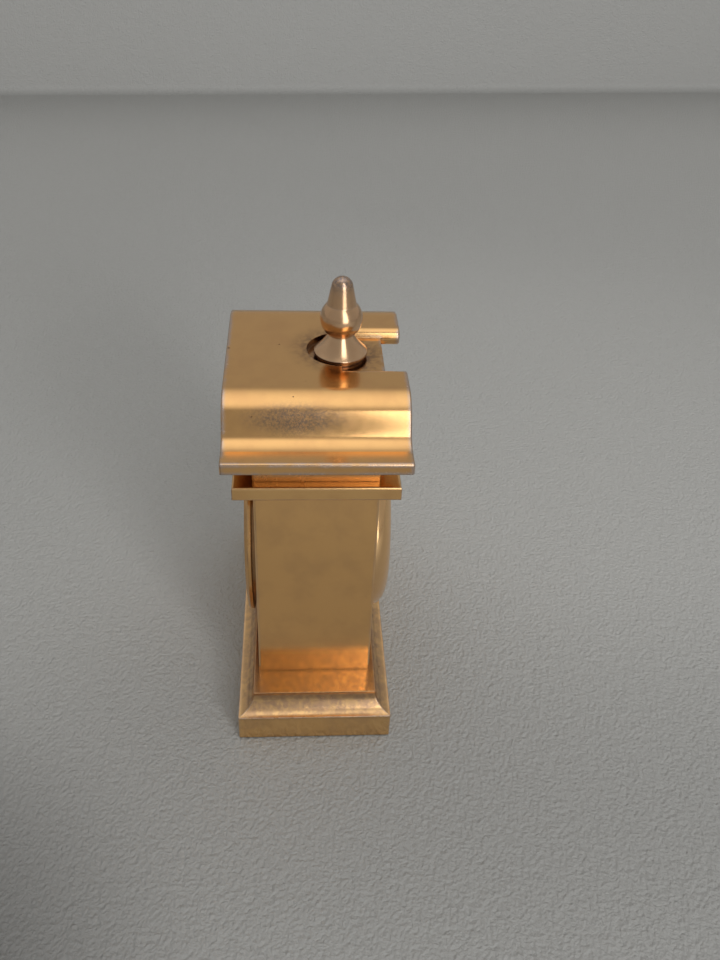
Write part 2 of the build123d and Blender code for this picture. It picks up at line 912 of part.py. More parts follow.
def stator_front():
    """The stator lies level with the middle of the rotor's magnet."""
    return train_level(1) - (magnet_height - stator_thickness) / 2 + level_start


def make_main_plate():
    """The round plate that carries the movement, with the minute wheel's post and the cell's cradle."""
    plate = disc(plate_radius, plate_front, plate_back)
    post_front = motion_level(1) - motion_wheel_thickness - pinion_overlap
    plate += disc(minute_post_radius, post_front, plate_front, minute_place)
    inner = battery_radius + cradle_clearance
    cradle = Circle(inner + cradle_wall) - Circle(inner)
    half_turn = cradle_mouth_angle / 2
    reach = 2 * inner
    mouth = Polyline(
        (0, 0),
        polar(reach, plus_contact_angle - half_turn),
        polar(reach, plus_contact_angle + half_turn),
        close=True,
    )
    cradle -= make_face(mouth)
    plate += slice_of(cradle, plate_back, plate_back + cradle_height, battery_place)
    for place in coil_screw_places():
        plate += disc(coil_post_radius, plate_back, stator_front(), place)
        plate -= disc(coil_screw_radius, plate_front, stator_front() + cut_overrun, place)
    plate -= disc(centre_tube_radius + running_fit, plate_front - cut_overrun, plate_back + cut_overrun)
    for place in train_places():
        plate -= bearing(plate_front, plate_back, place)
    hole = setting_arbor_radius + running_fit
    plate -= disc(hole, plate_front - cut_overrun, plate_back + cut_overrun, setting_place)
    for place in bridge_posts:
        plate -= disc(bridge_screw_radius, plate_front, plate_back + cut_overrun, place)
    return plate


def make_train_bridge():
    """The plate over the train, on three posts, with the rear bearings."""
    pads = [Pos(*place) * Circle(bridge_pad_radius) for place in (*bridge_posts, rotor_place)]
    outline = make_hull([edge for pad in pads for edge in pad.edges()])
    bridge = slice_of(outline, bridge_front, bridge_back)
    for place in bridge_posts:
        bridge += disc(bridge_post_radius, plate_back, bridge_front, place)
    for place in bridge_posts:
        hole = bridge_screw_radius + running_fit
        bridge -= disc(hole, plate_back - cut_overrun, bridge_back + cut_overrun, place)
    for place in (*train_places(), centre_place):
        bridge -= bearing(bridge_front, bridge_back, place)
    return bridge


def cheese_screw(radius, head_radius, head, front, seat, place):
    """A small screw with a round slotted head behind its seat."""
    screw = disc(radius, front, seat, place) + disc(head_radius, seat, seat + head, place)
    slot = slice_of(
        Rectangle(2 * head_radius + cut_overrun, radius), seat + head / 2, seat + head + cut_overrun, place
    )
    return screw - slot


def make_bridge_screws():
    solids = [
        cheese_screw(
            bridge_screw_radius,
            bridge_screw_head_radius,
            bridge_screw_head,
            plate_front + plate_clearance,
            bridge_back,
            place,
        )
        for place in bridge_posts
    ]
    return Compound(children=solids)


def make_circuit_board():
    """The board on the back of the plate, its outer corners cut to the round case."""
    middle = ((board_left + board_right) / 2, (board_bottom + board_top) / 2)
    sketch = Pos(*middle) * Rectangle(board_right - board_left, board_top - board_bottom)
    sketch &= Circle(case_floor_radius - plate_clearance)
    return slice_of(sketch, plate_back, plate_back + board_thickness)


def board_point(share_x, share_y):
    """A place on the board, as shares of its width and height."""
    x = board_left + (board_right - board_left) * share_x
    return (x, board_bottom + (board_top - board_bottom) * share_y)


def make_timer_chip():
    front = plate_back + board_thickness
    place = board_point(*chip_place_shares)
    return slice_of(Rectangle(chip_size, chip_size), front, front + chip_height, place)


def make_crystal_can():
    """The quartz crystal's small tube, lying on the board."""
    place = board_point(*crystal_place_shares)
    y = plate_back + board_thickness + crystal_radius
    start = (place[0], y, clock_axis_height + place[1])
    end_plane = Plane(origin=start, x_dir=(0, 1, 0), z_dir=(1, 0, 0))
    return extrude(end_plane * Circle(crystal_radius), amount=crystal_length)


def strip(points, width, front, back):
    """A flat ribbon that follows straight runs between points."""
    return slice_of(trace(Polyline(*points), line_width=width), front, back)


def make_plus_contact():
    """The spring strip on edge that runs from the board and lies along the side of the cell."""
    radius = battery_radius + contact_thickness / 2 + gasket_gap
    touch = polar(radius, plus_contact_angle, battery_place)
    heel = polar(plus_contact_reach, plus_contact_angle - 90, touch)
    tip = polar(plus_contact_reach, plus_contact_angle + 90, touch)
    start = board_point(*plus_contact_place_shares)
    turn = (bridge_posts[2][0] + 2 * bridge_post_radius, bridge_posts[2][1] - bridge_pad_radius)
    front = plate_back + board_thickness
    return strip([start, turn, heel, tip], contact_thickness, front, front + plus_contact_height)


def make_minus_contact():
    """The flat leaf under the cell, running to the edge of the board."""
    x = bridge_posts[2][0] + bridge_post_radius + leaf_width
    start = (x, board_bottom)
    turn = (x, bridge_posts[2][1] - bridge_pad_radius)
    end = polar(battery_button_radius / 2, plus_contact_angle, battery_place)
    return strip([start, turn, end], leaf_width, plate_back, plate_back + contact_thickness)


def make_battery():
    """The button cell: the can behind, the smaller button in front on the leaf."""
    front = plate_back + contact_thickness
    shoulder = front + battery_button_height
    can = disc(battery_radius, shoulder, front + battery_thickness, battery_place)
    return can + disc(battery_button_radius, front, shoulder, battery_place)


def make_stator():
    """The motor's plate: a yoke round the rotor, slit at both sides, with two lugs for the coil."""
    gap = magnet_radius + stator_gap
    low = rotor_place[1] - gap - stator_bottom_margin
    high = rotor_place[1] + gap + stator_top_margin
    lug_top = coil_height + coil_core_width / 2
    yoke = Pos(0, (low + high) / 2) * Rectangle(2 * stator_half_width, high - low)
    for side in (-1, 1):
        x = side * (stator_half_width - stator_lug_width / 2)
        yoke += Pos(x, (high + lug_top) / 2) * Rectangle(stator_lug_width, lug_top - high)
    yoke -= Pos(*rotor_place) * Circle(gap)
    for side in (-1, 1):
        notch = (0, rotor_place[1] + side * gap)
        yoke -= Pos(*notch) * Circle(stator_slit / 2)
    for place in coil_screw_places():
        yoke -= Pos(*place) * Circle(coil_screw_radius + running_fit)
    return slice_of(yoke, stator_front(), stator_front() + stator_thickness)


def core_front():
    return stator_front() + stator_thickness


def make_coil_core():
    """The iron bar through the coil, lying on the stator's lugs."""
    sketch = Rectangle(2 * coil_core_half_length, coil_core_width)
    for place in coil_screw_places():
        sketch -= Pos(place[0], 0) * Circle(coil_screw_radius + running_fit)
    back = core_front() + coil_core_thickness
    return slice_of(sketch, core_front(), back, (0, coil_height))


def coil_solid(radius, low, high):
    """A round bar along X about the coil's axis."""
    middle = core_front() + coil_core_thickness / 2
    origin = (low, middle, clock_axis_height + coil_height)
    across = Plane(origin=origin, x_dir=(0, 1, 0), z_dir=(1, 0, 0))
    return extrude(across * Circle(radius), amount=high - low)


def core_hole():
    """The rectangular way through the bobbin."""
    half = coil_half_length + coil_flange + cut_overrun
    sketch = Rectangle(2 * half, coil_core_width)
    back = core_front() + coil_core_thickness
    return slice_of(sketch, core_front(), back, (0, coil_height))


def bobbin_tube_radius():
    return hypot(coil_core_width, coil_core_thickness) / 2 + coil_tube_wall


def make_coil_bobbin():
    """A tube with a flange at each end, pushed over the core."""
    bobbin = coil_solid(bobbin_tube_radius(), -coil_half_length, coil_half_length)
    for side in (-1, 1):
        ends = sorted((side * coil_half_length, side * (coil_half_length + coil_flange)))
        bobbin += coil_solid(coil_flange_radius, *ends)
    return bobbin - core_hole()


def make_coil_winding():
    low, high = -coil_half_length, coil_half_length
    return coil_solid(coil_radius, low, high) - coil_solid(bobbin_tube_radius(), low, high)


def make_coil_screws():
    seat = core_front() + coil_core_thickness
    solids = [
        cheese_screw(
            coil_screw_radius,
            coil_screw_head_radius,
            coil_screw_head,
            plate_front + plate_clearance,
            seat,
            place,
        )
        for place in coil_screw_places()
    ]
    return Compound(children=solids)


def train_phases():
    """Tooth phases of the going train, each gear set to mesh with the one before it."""
    rotor = rotor_angle + 180
    intermediate = mesh_phase(rotor, rotor_leaves, rotor_angle + 180, intermediate_teeth)
    towards_centre = intermediate_angle + 180
    seconds = mesh_phase(towards_centre, intermediate_leaves, towards_centre, seconds_teeth)
    third = mesh_phase(third_angle, seconds_leaves, third_angle, third_teeth)
    back = third_angle + 180
    centre = mesh_phase(back, third_leaves, back, centre_teeth)
    return rotor, intermediate, seconds, third, centre


def make_rotor_pinion():
    """The rotor's arbor and its small pinion."""
    phase = train_phases()[0]
    return arbor(rotor_place) + pinion(rotor_leaves, rotor_module, phase, train_level(3), rotor_place)


def make_rotor_magnet():
    front = stator_front() - (magnet_height - stator_thickness) / 2
    return ring(magnet_radius, arbor_radius, front, front + magnet_height, rotor_place)


def make_intermediate_wheel():
    place = intermediate_place
    body = plain_wheel(intermediate_teeth, rotor_module, train_phases()[1], train_level(3), place)
    phase = intermediate_angle + 180
    body += pinion(intermediate_leaves, seconds_module, phase, train_level(2), place)
    return body + arbor(place)


def seconds_front():
    """The front end of the seconds arbor, where the hand sits."""
    return minute_hand_front() - hand_gap - hand_thickness


def make_seconds_wheel():
    """The seconds wheel, its pinion and the long arbor that reaches through to the front."""
    hub = seconds_module * seconds_teeth / 2 * wheel_hub_share
    body = spoked_wheel(seconds_teeth, seconds_module, train_phases()[2], train_level(2), hub)
    body += pinion(seconds_leaves, third_wheel_module, third_angle, train_level(1), centre_place)
    body += disc(seconds_arbor_radius, seconds_front(), bridge_front - arbor_shake)
    return body + disc(pivot_radius, bridge_front - level_start, bridge_front + pivot_length)


def make_third_wheel():
    place = third_place
    body = plain_wheel(third_teeth, third_wheel_module, train_phases()[3], train_level(1), place)
    phase = third_angle + 180
    body += pinion(third_leaves, third_pinion_module, phase, train_level(0), place)
    return body + arbor(place)


def make_centre_wheel():
    """The centre wheel and the tube that carries the cannon pinion by friction."""
    hub = centre_tube_radius
    level = train_level(0)
    body = spoked_wheel(centre_teeth, third_pinion_module, train_phases()[4], level, hub)
    front = minute_hand_front() - tube_lead
    body += disc(centre_tube_radius, front, level)
    back = level + wheel_thickness + cut_overrun
    return body - disc(seconds_arbor_radius + running_fit, front - cut_overrun, back)


def motion_level(number):
    """The rear face of a wheel of the motion work, counted forward from the plate."""
    return plate_front - motion_level_start - number * motion_level_pitch


def motion_gear(teeth, module, phase, number, place):
    """A gear of the motion work; pinions run a little past their wheels."""
    back = motion_level(number)
    sketch = gear_outline(teeth, module, phase)
    return slice_of(sketch, back - motion_wheel_thickness, back, place)


def hour_hand_front():
    return dial_front - hand_gap - hand_thickness


def minute_hand_front():
    return hour_hand_front() - hand_gap - hand_thickness


def minute_wheel_phase():
    return mesh_phase(minute_angle, cannon_leaves, minute_angle, minute_teeth)


def make_cannon_pinion():
    """The tube that carries the minute hand, with the pinion that drives the motion work."""
    body = motion_gear(cannon_leaves, minute_module, minute_angle, 0, centre_place)
    body += disc(cannon_tube_radius, minute_hand_front(), motion_level(0))
    hole = centre_tube_radius + running_fit
    return body - disc(hole, minute_hand_front() - cut_overrun, motion_level(0) + cut_overrun)


def make_minute_wheel():
    """The wheel on the plate's post, with the pinion that turns the hour wheel."""
    place = minute_place
    body = motion_gear(minute_teeth, minute_module, minute_wheel_phase(), 0, place)
    sketch = gear_outline(minute_leaves, hour_module, minute_angle + 180)
    front = motion_level(1) - motion_wheel_thickness - pinion_overlap / 2
    body += slice_of(sketch, front, motion_level(0) - motion_wheel_thickness, place)
    hole = minute_post_radius + running_fit
    return body - disc(hole, front - cut_overrun, motion_level(0) + cut_overrun, place)


def make_hour_wheel():
    """The hour wheel and the tube that carries the hour hand."""
    back_angle = minute_angle + 180
    phase = mesh_phase(back_angle, minute_leaves, back_angle, hour_teeth)
    body = motion_gear(hour_teeth, hour_module, phase, 1, centre_place)
    body += disc(hour_tube_radius, hour_hand_front(), motion_level(1))
    hole = cannon_tube_radius + running_fit
    return body - disc(hole, hour_hand_front() - cut_overrun, motion_level(1) + cut_overrun)


def make_setting_pinion():
    """The pinion at the front end of the setting knob's arbor."""
    wheel_phase = minute_wheel_phase()
    phase = mesh_phase(wheel_phase, minute_teeth, setting_angle, setting_leaves)
    body = motion_gear(setting_leaves, minute_module, phase, 0, setting_place)
    return body - disc(setting_arbor_radius, plate_front - motion_room, plate_front, setting_place)


def make_setting_knob():
    """The fluted knob on the back, with its long arbor."""
    back = knob_front + knob_height
    knob = disc(knob_radius, knob_front, back, setting_place)
    rim = knob.faces().sort_by(Axis.Y)[-1].edges()
    knob = chamfer(rim, knob_flute_radius)
    for number in range(knob_flutes):
        place = polar(knob_radius, number * 360 / knob_flutes, setting_place)
        knob -= disc(knob_flute_radius, knob_front - cut_overrun, back + cut_overrun, place)
    knob -= disc(knob_dish_radius, back - knob_dish_depth, back + cut_overrun, setting_place)
    front = motion_level(0) - motion_wheel_thickness
    return knob + disc(setting_arbor_radius, front, knob_front, setting_place)


def make_battery_hatch():
    """The coin-slotted cap that closes the cell's opening and presses on the cell."""
    seat = case_back + seat_gap
    cell_back = plate_back + contact_thickness + battery_thickness
    place = battery_place
    cap = disc(hatch_radius, case_floor, seat, place)
    cap += disc(hatch_radius + hatch_flange, seat, seat + hatch_flange_height, place)
    cap += disc(hatch_boss_radius, cell_back + seat_gap, case_floor, place)
    slot = Rectangle(2 * hatch_radius, hatch_slot_width)
    top = seat + hatch_flange_height
    return cap - slice_of(slot, top - hatch_slot_depth, top + cut_overrun, place)


def hand(length, tail, width, hole, boss, front):
    """A tapering hand that points to twelve, with a round boss."""
    half = width / 2
    tip = half * hand_tip_share
    blade = Polyline(
        (-half, -tail), (half, -tail), (half, 0), (tip, length), (-tip, length), (-half, 0), close=True
    )
    sketch = make_face(blade) + Circle(boss) - Circle(hole)
    return slice_of(sketch, front, front + hand_thickness)


def make_hour_hand():
    boss = hour_tube_radius + hand_boss_wall
    front = hour_hand_front()
    width = hour_hand_width
    return hand(hour_hand_length, width, width, hour_tube_radius, boss, front)


def make_minute_hand():
    boss = cannon_tube_radius + hand_boss_wall
    front = minute_hand_front()
    width = minute_hand_width
    return hand(minute_hand_length, width, width, cannon_tube_radius, boss, front)


def make_seconds_hand():
    boss = seconds_arbor_radius + hand_boss_wall
    width = seconds_hand_width
    tail = seconds_hand_tail
    length = seconds_hand_length
    return hand(length, tail, width, seconds_arbor_radius, boss, seconds_front())


pieces = {
    "base_plinth": make_base_plinth,
    "base_felt": make_base_felt,
    "base_screws": make_base_screws,
    "body_block": make_body_block,
    "cornice_plate": make_cornice_plate,
    "neck_block": make_neck_block,
    "roof_pediment": make_roof_pediment,
    "dowel_pins": make_dowel_pins,
    "finial": make_finial,
    "rear_cover": make_rear_cover,
    "bezel": make_bezel,
    "lens": make_lens,
    "lens_gasket": make_lens_gasket,
    "dial_ring": make_dial_ring,
    "dial": make_dial,
    "dial_spacer": make_dial_spacer,
    "movement_case": make_movement_case,
    "retaining_ring": make_retaining_ring,
    "main_plate": make_main_plate,
    "train_bridge": make_train_bridge,
    "bridge_screws": make_bridge_screws,
    "circuit_board": make_circuit_board,
    "timer_chip": make_timer_chip,
    "crystal_can": make_crystal_can,
    "plus_contact": make_plus_contact,
    "minus_contact": make_minus_contact,
    "battery": make_battery,
    "stator": make_stator,
    "coil_core": make_coil_core,
    "coil_bobbin": make_coil_bobbin,
    "coil_winding": make_coil_winding,
    "coil_screws": make_coil_screws,
    "rotor_pinion": make_rotor_pinion,
    "rotor_magnet": make_rotor_magnet,
    "intermediate_wheel": make_intermediate_wheel,
    "seconds_wheel": make_seconds_wheel,
    "third_wheel": make_third_wheel,
    "centre_wheel": make_centre_wheel,
    "cannon_pinion": make_cannon_pinion,
    "minute_wheel": make_minute_wheel,
    "hour_wheel": make_hour_wheel,
    "setting_pinion": make_setting_pinion,
    "setting_knob": make_setting_knob,
    "battery_hatch": make_battery_hatch,
    "hour_hand": make_hour_hand,
    "minute_hand": make_minute_hand,
    "seconds_hand": make_seconds_hand,
}

os.makedirs("parts", exist_ok=True)
for name, make in pieces.items():
    export_step(make(), f"parts/{name}.step")
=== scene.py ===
import json
import math

import bpy
import numpy as np
from mathutils import Matrix, Vector


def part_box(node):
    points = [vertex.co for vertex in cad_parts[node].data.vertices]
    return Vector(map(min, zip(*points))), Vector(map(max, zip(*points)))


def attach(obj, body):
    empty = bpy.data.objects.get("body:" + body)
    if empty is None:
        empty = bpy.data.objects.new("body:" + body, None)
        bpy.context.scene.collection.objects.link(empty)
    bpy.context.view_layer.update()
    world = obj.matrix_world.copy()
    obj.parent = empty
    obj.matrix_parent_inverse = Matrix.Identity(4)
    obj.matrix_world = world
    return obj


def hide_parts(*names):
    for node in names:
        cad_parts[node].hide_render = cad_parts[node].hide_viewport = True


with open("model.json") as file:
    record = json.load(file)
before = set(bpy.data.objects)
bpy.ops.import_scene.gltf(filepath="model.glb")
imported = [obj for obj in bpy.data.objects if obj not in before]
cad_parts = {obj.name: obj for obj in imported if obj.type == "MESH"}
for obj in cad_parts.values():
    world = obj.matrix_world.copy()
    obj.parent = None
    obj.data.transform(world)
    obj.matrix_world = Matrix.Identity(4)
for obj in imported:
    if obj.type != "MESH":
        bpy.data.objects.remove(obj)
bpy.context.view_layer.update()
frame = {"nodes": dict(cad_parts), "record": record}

# A small gilt brass desk clock on a pale table. Metres, +Z up, the dial faces -Y.
nodes = frame["nodes"]
mm = 0.001


# ---- Meshes worked out on grids ----

def grid_faces(rows, columns, wrap_rows=False, wrap_columns=False):
    """Corner numbers of every quad of a grid: (i, j), (i, j + 1), (i + 1, j + 1), (i + 1, j)."""
    i = np.arange(rows if wrap_rows else rows - 1)[:, None]
    j = np.arange(columns if wrap_columns else columns - 1)[None, :]
    after_i, after_j = (i + 1) % rows, (j + 1) % columns
    corners = [
        i * columns + j,
        i * columns + after_j,
        after_i * columns + after_j,
        after_i * columns + j,
    ]
    return np.stack([np.broadcast_to(c, (i.size, j.size)) for c in corners], -1).reshape(-1, 4)


def make_piece(name, points, faces, body, material, smooth=True):
    """A mesh object at the origin from points and quads, which rides on a body unless that is None."""
    mesh = bpy.data.meshes.new(name)
    mesh.from_pydata(points.reshape(-1, 3).tolist(), [], faces.tolist())
    mesh.polygons.foreach_set("use_smooth", np.full(len(mesh.polygons), smooth))
    mesh.materials.append(material)
    piece = bpy.data.objects.new(name, mesh)
    bpy.context.scene.collection.objects.link(piece)
    if body:
        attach(piece, body)
    return piece


def add_solidify(piece, thickness, side):
    """A thickness on one side of the faces: 1 for the side that they face, -1 for the other."""
    modifier = piece.modifiers.new("thickness", "SOLIDIFY")
    modifier.thickness = thickness
    modifier.offset = side
    modifier.use_even_offset = True


# ---- Shader nodes ----

# The Mix node gives several sockets the same name, so its colour sockets go by number.
mix_share, mix_first, mix_second, mix_result = 0, 6, 7, 2


def add_node(tree, kind, inputs=None, **settings):
    """A node with its settings; each input is given a value, or linked where the value is a socket."""
    node = tree.nodes.new(kind)
    for name, value in settings.items():
        setattr(node, name, value)
    for name, value in (inputs or {}).items():
        if isinstance(value, bpy.types.NodeSocket):
            tree.links.new(value, node.inputs[name])
        else:
            node.inputs[name].default_value = value
    return node


def compute(tree, operation, *values):
    """One sum on numbers, such as MULTIPLY."""
    return add_node(tree, "ShaderNodeMath", dict(enumerate(values)), operation=operation).outputs[0]


def multiply(tree, first, *others):
    """The product of two or more numbers."""
    for other in others:
        first = compute(tree, "MULTIPLY", first, other)
    return first


def compute_vector(tree, operation, *values):
    """One sum on vectors; DISTANCE, LENGTH and DOT_PRODUCT give a number, the others a vector."""
    node = add_node(tree, "ShaderNodeVectorMath", dict(enumerate(values)), operation=operation)
    is_number = operation in ("DISTANCE", "LENGTH", "DOT_PRODUCT")
    return node.outputs["Value" if is_number else "Vector"]


def object_place(tree):
    return add_node(tree, "ShaderNodeTexCoord").outputs["Object"]


def axes_of(tree, vector):
    return add_node(tree, "ShaderNodeSeparateXYZ", {"Vector": vector}).outputs


def spread(tree, value, low, high, to_low=0.0, to_high=1.0):
    """The value carried smoothly from one range to another and held at its ends."""
    inputs = {"Value": value, "From Min": low, "From Max": high, "To Min": to_low, "To Max": to_high}
    node = add_node(tree, "ShaderNodeMapRange", inputs, interpolation_type="SMOOTHSTEP")
    return node.outputs["Result"]


def blend_colours(tree, share, first, second, how="MIX"):
    """The first colour with a share of the second mixed or multiplied in."""
    inputs = {mix_share: share, mix_first: first, mix_second: second}
    return add_node(tree, "ShaderNodeMix", inputs, data_type="RGBA", blend_type=how).outputs[mix_result]


def noise(tree, scale, detail=2.0, rough=0.5, vector=None):
    """Cloudy noise on Object coordinates, or on the vector given; the scale is in lumps to a metre."""
    if vector is None:
        vector = object_place(tree)
    inputs = {"Vector": vector, "Scale": scale, "Detail": detail, "Roughness": rough}
    return add_node(tree, "ShaderNodeTexNoise", inputs).outputs["Fac"]


def drawn_lines(tree, grain):
    """Noise drawn out into lines; the grain holds its lumps to a metre along each axis."""
    stretched = compute_vector(tree, "MULTIPLY", object_place(tree), grain)
    return noise(tree, 1.0, detail=3.0, rough=0.6, vector=stretched)


def start_group(name, inputs, outputs):
    """An empty node group with named inputs (name, kind, value) and outputs (name, kind)."""
    group = bpy.data.node_groups.new(name, "ShaderNodeTree")
    for socket, kind, value in inputs:
        made = group.interface.new_socket(socket, in_out="INPUT", socket_type="NodeSocket" + kind)
        made.default_value = value
    for socket, kind in outputs:
        group.interface.new_socket(socket, in_out="OUTPUT", socket_type="NodeSocket" + kind)
    entry = group.nodes.new("NodeGroupInput").outputs
    leave = group.nodes.new("NodeGroupOutput").inputs
    return group, entry, leave


def finish_group(group, leave, results):
    for name, socket in results.items():
        group.links.new(socket, leave[name])
    return group


def use_group(tree, group, inputs):
    return add_node(tree, "ShaderNodeGroup", inputs, node_tree=group).outputs


def start_material(name):
    material = bpy.data.materials.new(name)
    material.use_nodes = True
    tree = material.node_tree
    return material, tree, tree.nodes["Principled BSDF"]


def feed_shader(tree, shader, inputs):
    """Links each socket to the shader's input of that name, and sets the other inputs."""
    for name, value in inputs.items():
        if isinstance(value, bpy.types.NodeSocket):
            tree.links.new(value, shader.inputs[name])
        else:
            shader.inputs[name].default_value = value


def add_bump(tree, shader, height, depth, softened=0.0):
    """A height map in front of the shader's normal; depth and the soft edges' radius are in metres."""
    inputs = {"Height": height, "Distance": depth, "Strength": 1.0}
    if softened:
        bevel = add_node(tree, "ShaderNodeBevel", {"Radius": softened}, samples=6)
        inputs["Normal"] = bevel.outputs["Normal"]
    bump = add_node(tree, "ShaderNodeBump", inputs)
    tree.links.new(bump.outputs["Normal"], shader.inputs["Normal"])


# ---- Effects shared by several finishes ----

surface_outputs = [("Colour", "Color"), ("Roughness", "Float"), ("Height", "Float")]


def make_edge_wear():
    """1 where a rounded normal leaves the flat one, which is at outer edges and inner corners."""
    group, entry, leave = start_group(
        "edge_wear", [("Width", "Float", 0.3 * mm)], [("Mask", "Float")]
    )
    rounded = add_node(group, "ShaderNodeBevel", {"Radius": entry["Width"]}, samples=6)
    flat = add_node(group, "ShaderNodeNewGeometry")
    turn = compute_vector(group, "DOT_PRODUCT", rounded.outputs["Normal"], flat.outputs["Normal"])
    no_wear, full_wear = 0.998, 0.965
    return finish_group(group, leave, {"Mask": spread(group, turn, low=no_wear, high=full_wear)})


def make_specks():
    """Small round specks: the core of each Voronoi cell whose random number is low."""
    inputs = [("Scale", "Float", 600.0), ("Size", "Float", 0.12), ("Share", "Float", 0.1)]
    group, entry, leave = start_group("specks", inputs, [("Mask", "Float")])
    cell_inputs = {"Vector": object_place(group), "Scale": entry["Scale"]}
    cells = add_node(group, "ShaderNodeTexVoronoi", cell_inputs)
    chance = add_node(group, "ShaderNodeSeparateColor", {"Color": cells.outputs["Color"]})
    least_size = 0.3
    size = multiply(group, entry["Size"], compute(group, "ADD", chance.outputs["Green"], least_size))
    core = compute(group, "LESS_THAN", cells.outputs["Distance"], size)
    chosen = compute(group, "LESS_THAN", chance.outputs["Red"], entry["Share"])
    return finish_group(group, leave, {"Mask": multiply(group, core, chosen)})


def make_local_blotch():
    """A blotch round one place: 1 at its middle, broken up by noise, 0 beyond its spread."""
    inputs = [
        ("Place", "Vector", (0, 0, 0)),
        ("Spread", "Vector", (1, 1, 1)),
        ("Scale", "Float", 3200.0),
    ]
    group, entry, leave = start_group("local_blotch", inputs, [("Mask", "Float")])
    place = object_place(group)
    offset = compute_vector(group, "SUBTRACT", place, entry["Place"])
    shares = compute_vector(group, "DIVIDE", offset, entry["Spread"])
    far = compute_vector(group, "LENGTH", shares)
    full_within = 0.25
    patch = spread(group, far, low=1.0, high=full_within)
    lumps = noise(group, entry["Scale"], detail=3.0, rough=0.7, vector=place)
    broken = spread(group, lumps, low=0.38, high=0.62, to_low=0.35)
    return finish_group(group, leave, {"Mask": multiply(group, patch, broken)})


def make_gilt_surface(edge_wear, specks, local_blotch):
    """Gilding with age: cloudy tone, crevices darkened by tarnish and by painted shade, worn edges, a
    darkened patch, a stain and specks.
    """
    inputs = [
        ("Gold", "Color", (0.80, 0.47, 0.19, 1)),
        ("Deep", "Color", (0.60, 0.31, 0.14, 1)),
        ("Worn", "Color", (0.42, 0.33, 0.29, 1)),
        ("Stained", "Color", (0.16, 0.12, 0.09, 1)),
        ("Gloss", "Float", 0.16),
        ("Cloud", "Float", 0.4),
        ("Wear", "Float", 0.5),
        ("Wear Width", "Float", 0.35 * mm),
        ("Specks", "Float", 0.5),
        ("Stain", "Float", 0.0),
        ("Stain Rough", "Float", 0.1),
        ("Stain Place", "Vector", (0, 0, 0)),
        ("Stain Spread", "Vector", (1, 1, 1)),
        ("Stain Grain", "Float", 2600.0),
        ("Smudge", "Float", 0.0),
        ("Smudged", "Color", (0.20, 0.12, 0.10, 1)),
        ("Smudge Place", "Vector", (0, 0, 0)),
        ("Smudge Spread", "Vector", (1, 1, 1)),
        ("Grain", "Vector", (900, 900, 900)),
    ]
    group, entry, leave = start_group("gilt_surface", inputs, surface_outputs)
    painted_shade_colour, speck_colour = (0.13, 0.065, 0.04, 1), (0.10, 0.05, 0.02, 1)

    clouds = spread(group, noise(group, 230.0, detail=4.0, rough=0.6), low=0.40, high=0.68)
    clouds = multiply(group, clouds, entry["Cloud"])
    tone = blend_colours(group, clouds, entry["Gold"], entry["Deep"])

    # Occlusion is 1 in the open and falls in hollows. The hollows darken towards the deep tone, partly
    # tarnish that keeps its gilding and partly painted shade; the deepest take a painted shade near
    # black.
    hollow = add_node(group, "ShaderNodeAmbientOcclusion", {"Distance": 2.2 * mm}, samples=6)
    openness = hollow.outputs["AO"]
    crevice = spread(group, openness, low=0.70, high=0.25, to_high=0.5)
    tone = blend_colours(group, crevice, tone, entry["Deep"])
    # Painted shade: the deepest hollows go near black.
    painted_shade = spread(group, openness, low=0.55, high=0.20, to_high=0.9)
    tone = blend_colours(group, painted_shade, tone, painted_shade_colour)

    # The darkened patch: on the roof it is partly a stain round the finial's foot and partly painted
    # shade inside its pocket; on the plinth it darkens a band along the plinth's top.
    darkening_inputs = {
        "Place": entry["Smudge Place"], "Spread": entry["Smudge Spread"], "Scale": 900.0
    }
    darkening = multiply(group, use_group(group, local_blotch, darkening_inputs)["Mask"], entry["Smudge"])
    wear = multiply(
        group,
        use_group(group, edge_wear, {"Width": entry["Wear Width"]})["Mask"],
        entry["Wear"],
        spread(group, openness, low=0.6, high=0.95),
        spread(group, noise(group, 420.0, detail=3.0), low=0.32, high=0.55, to_low=0.25),
        spread(group, darkening, low=0.0, high=0.3, to_low=1.0, to_high=0.0),
    )
    tone = blend_colours(group, wear, tone, entry["Worn"])
    tone = blend_colours(group, darkening, tone, entry["Smudged"])

    stain_inputs = {
        "Place": entry["Stain Place"], "Spread": entry["Stain Spread"], "Scale": entry["Stain Grain"]
    }
    stain = multiply(group, use_group(group, local_blotch, stain_inputs)["Mask"], entry["Stain"])
    tone = blend_colours(group, stain, tone, entry["Stained"])
    dots = use_group(group, specks, {"Scale": 800.0, "Size": 0.14, "Share": 0.045})["Mask"]
    dots = multiply(group, dots, entry["Specks"])
    tone = blend_colours(group, dots, tone, speck_colour)

    lines, line_middle = drawn_lines(group, entry["Grain"]), 0.5
    rough = entry["Gloss"]
    for mask, added in (
        (clouds, 0.10),
        (compute(group, "SUBTRACT", lines, line_middle), 0.10),
        (stain, entry["Stain Rough"]),
        (wear, 0.10),
        (dots, 0.4),
    ):
        rough = compute(group, "MULTIPLY_ADD", mask, added, rough)
    least_rough = 0.05
    rough = compute(group, "MAXIMUM", rough, least_rough)

    fine, line_share, fine_share = noise(group, 3200.0), 0.5, 0.5
    height = compute(group, "MULTIPLY_ADD", lines, line_share, multiply(group, fine, fine_share))
    height = compute(group, "SUBTRACT", height, dots)
    return finish_group(group, leave, {"Colour": tone, "Roughness": rough, "Height": height})


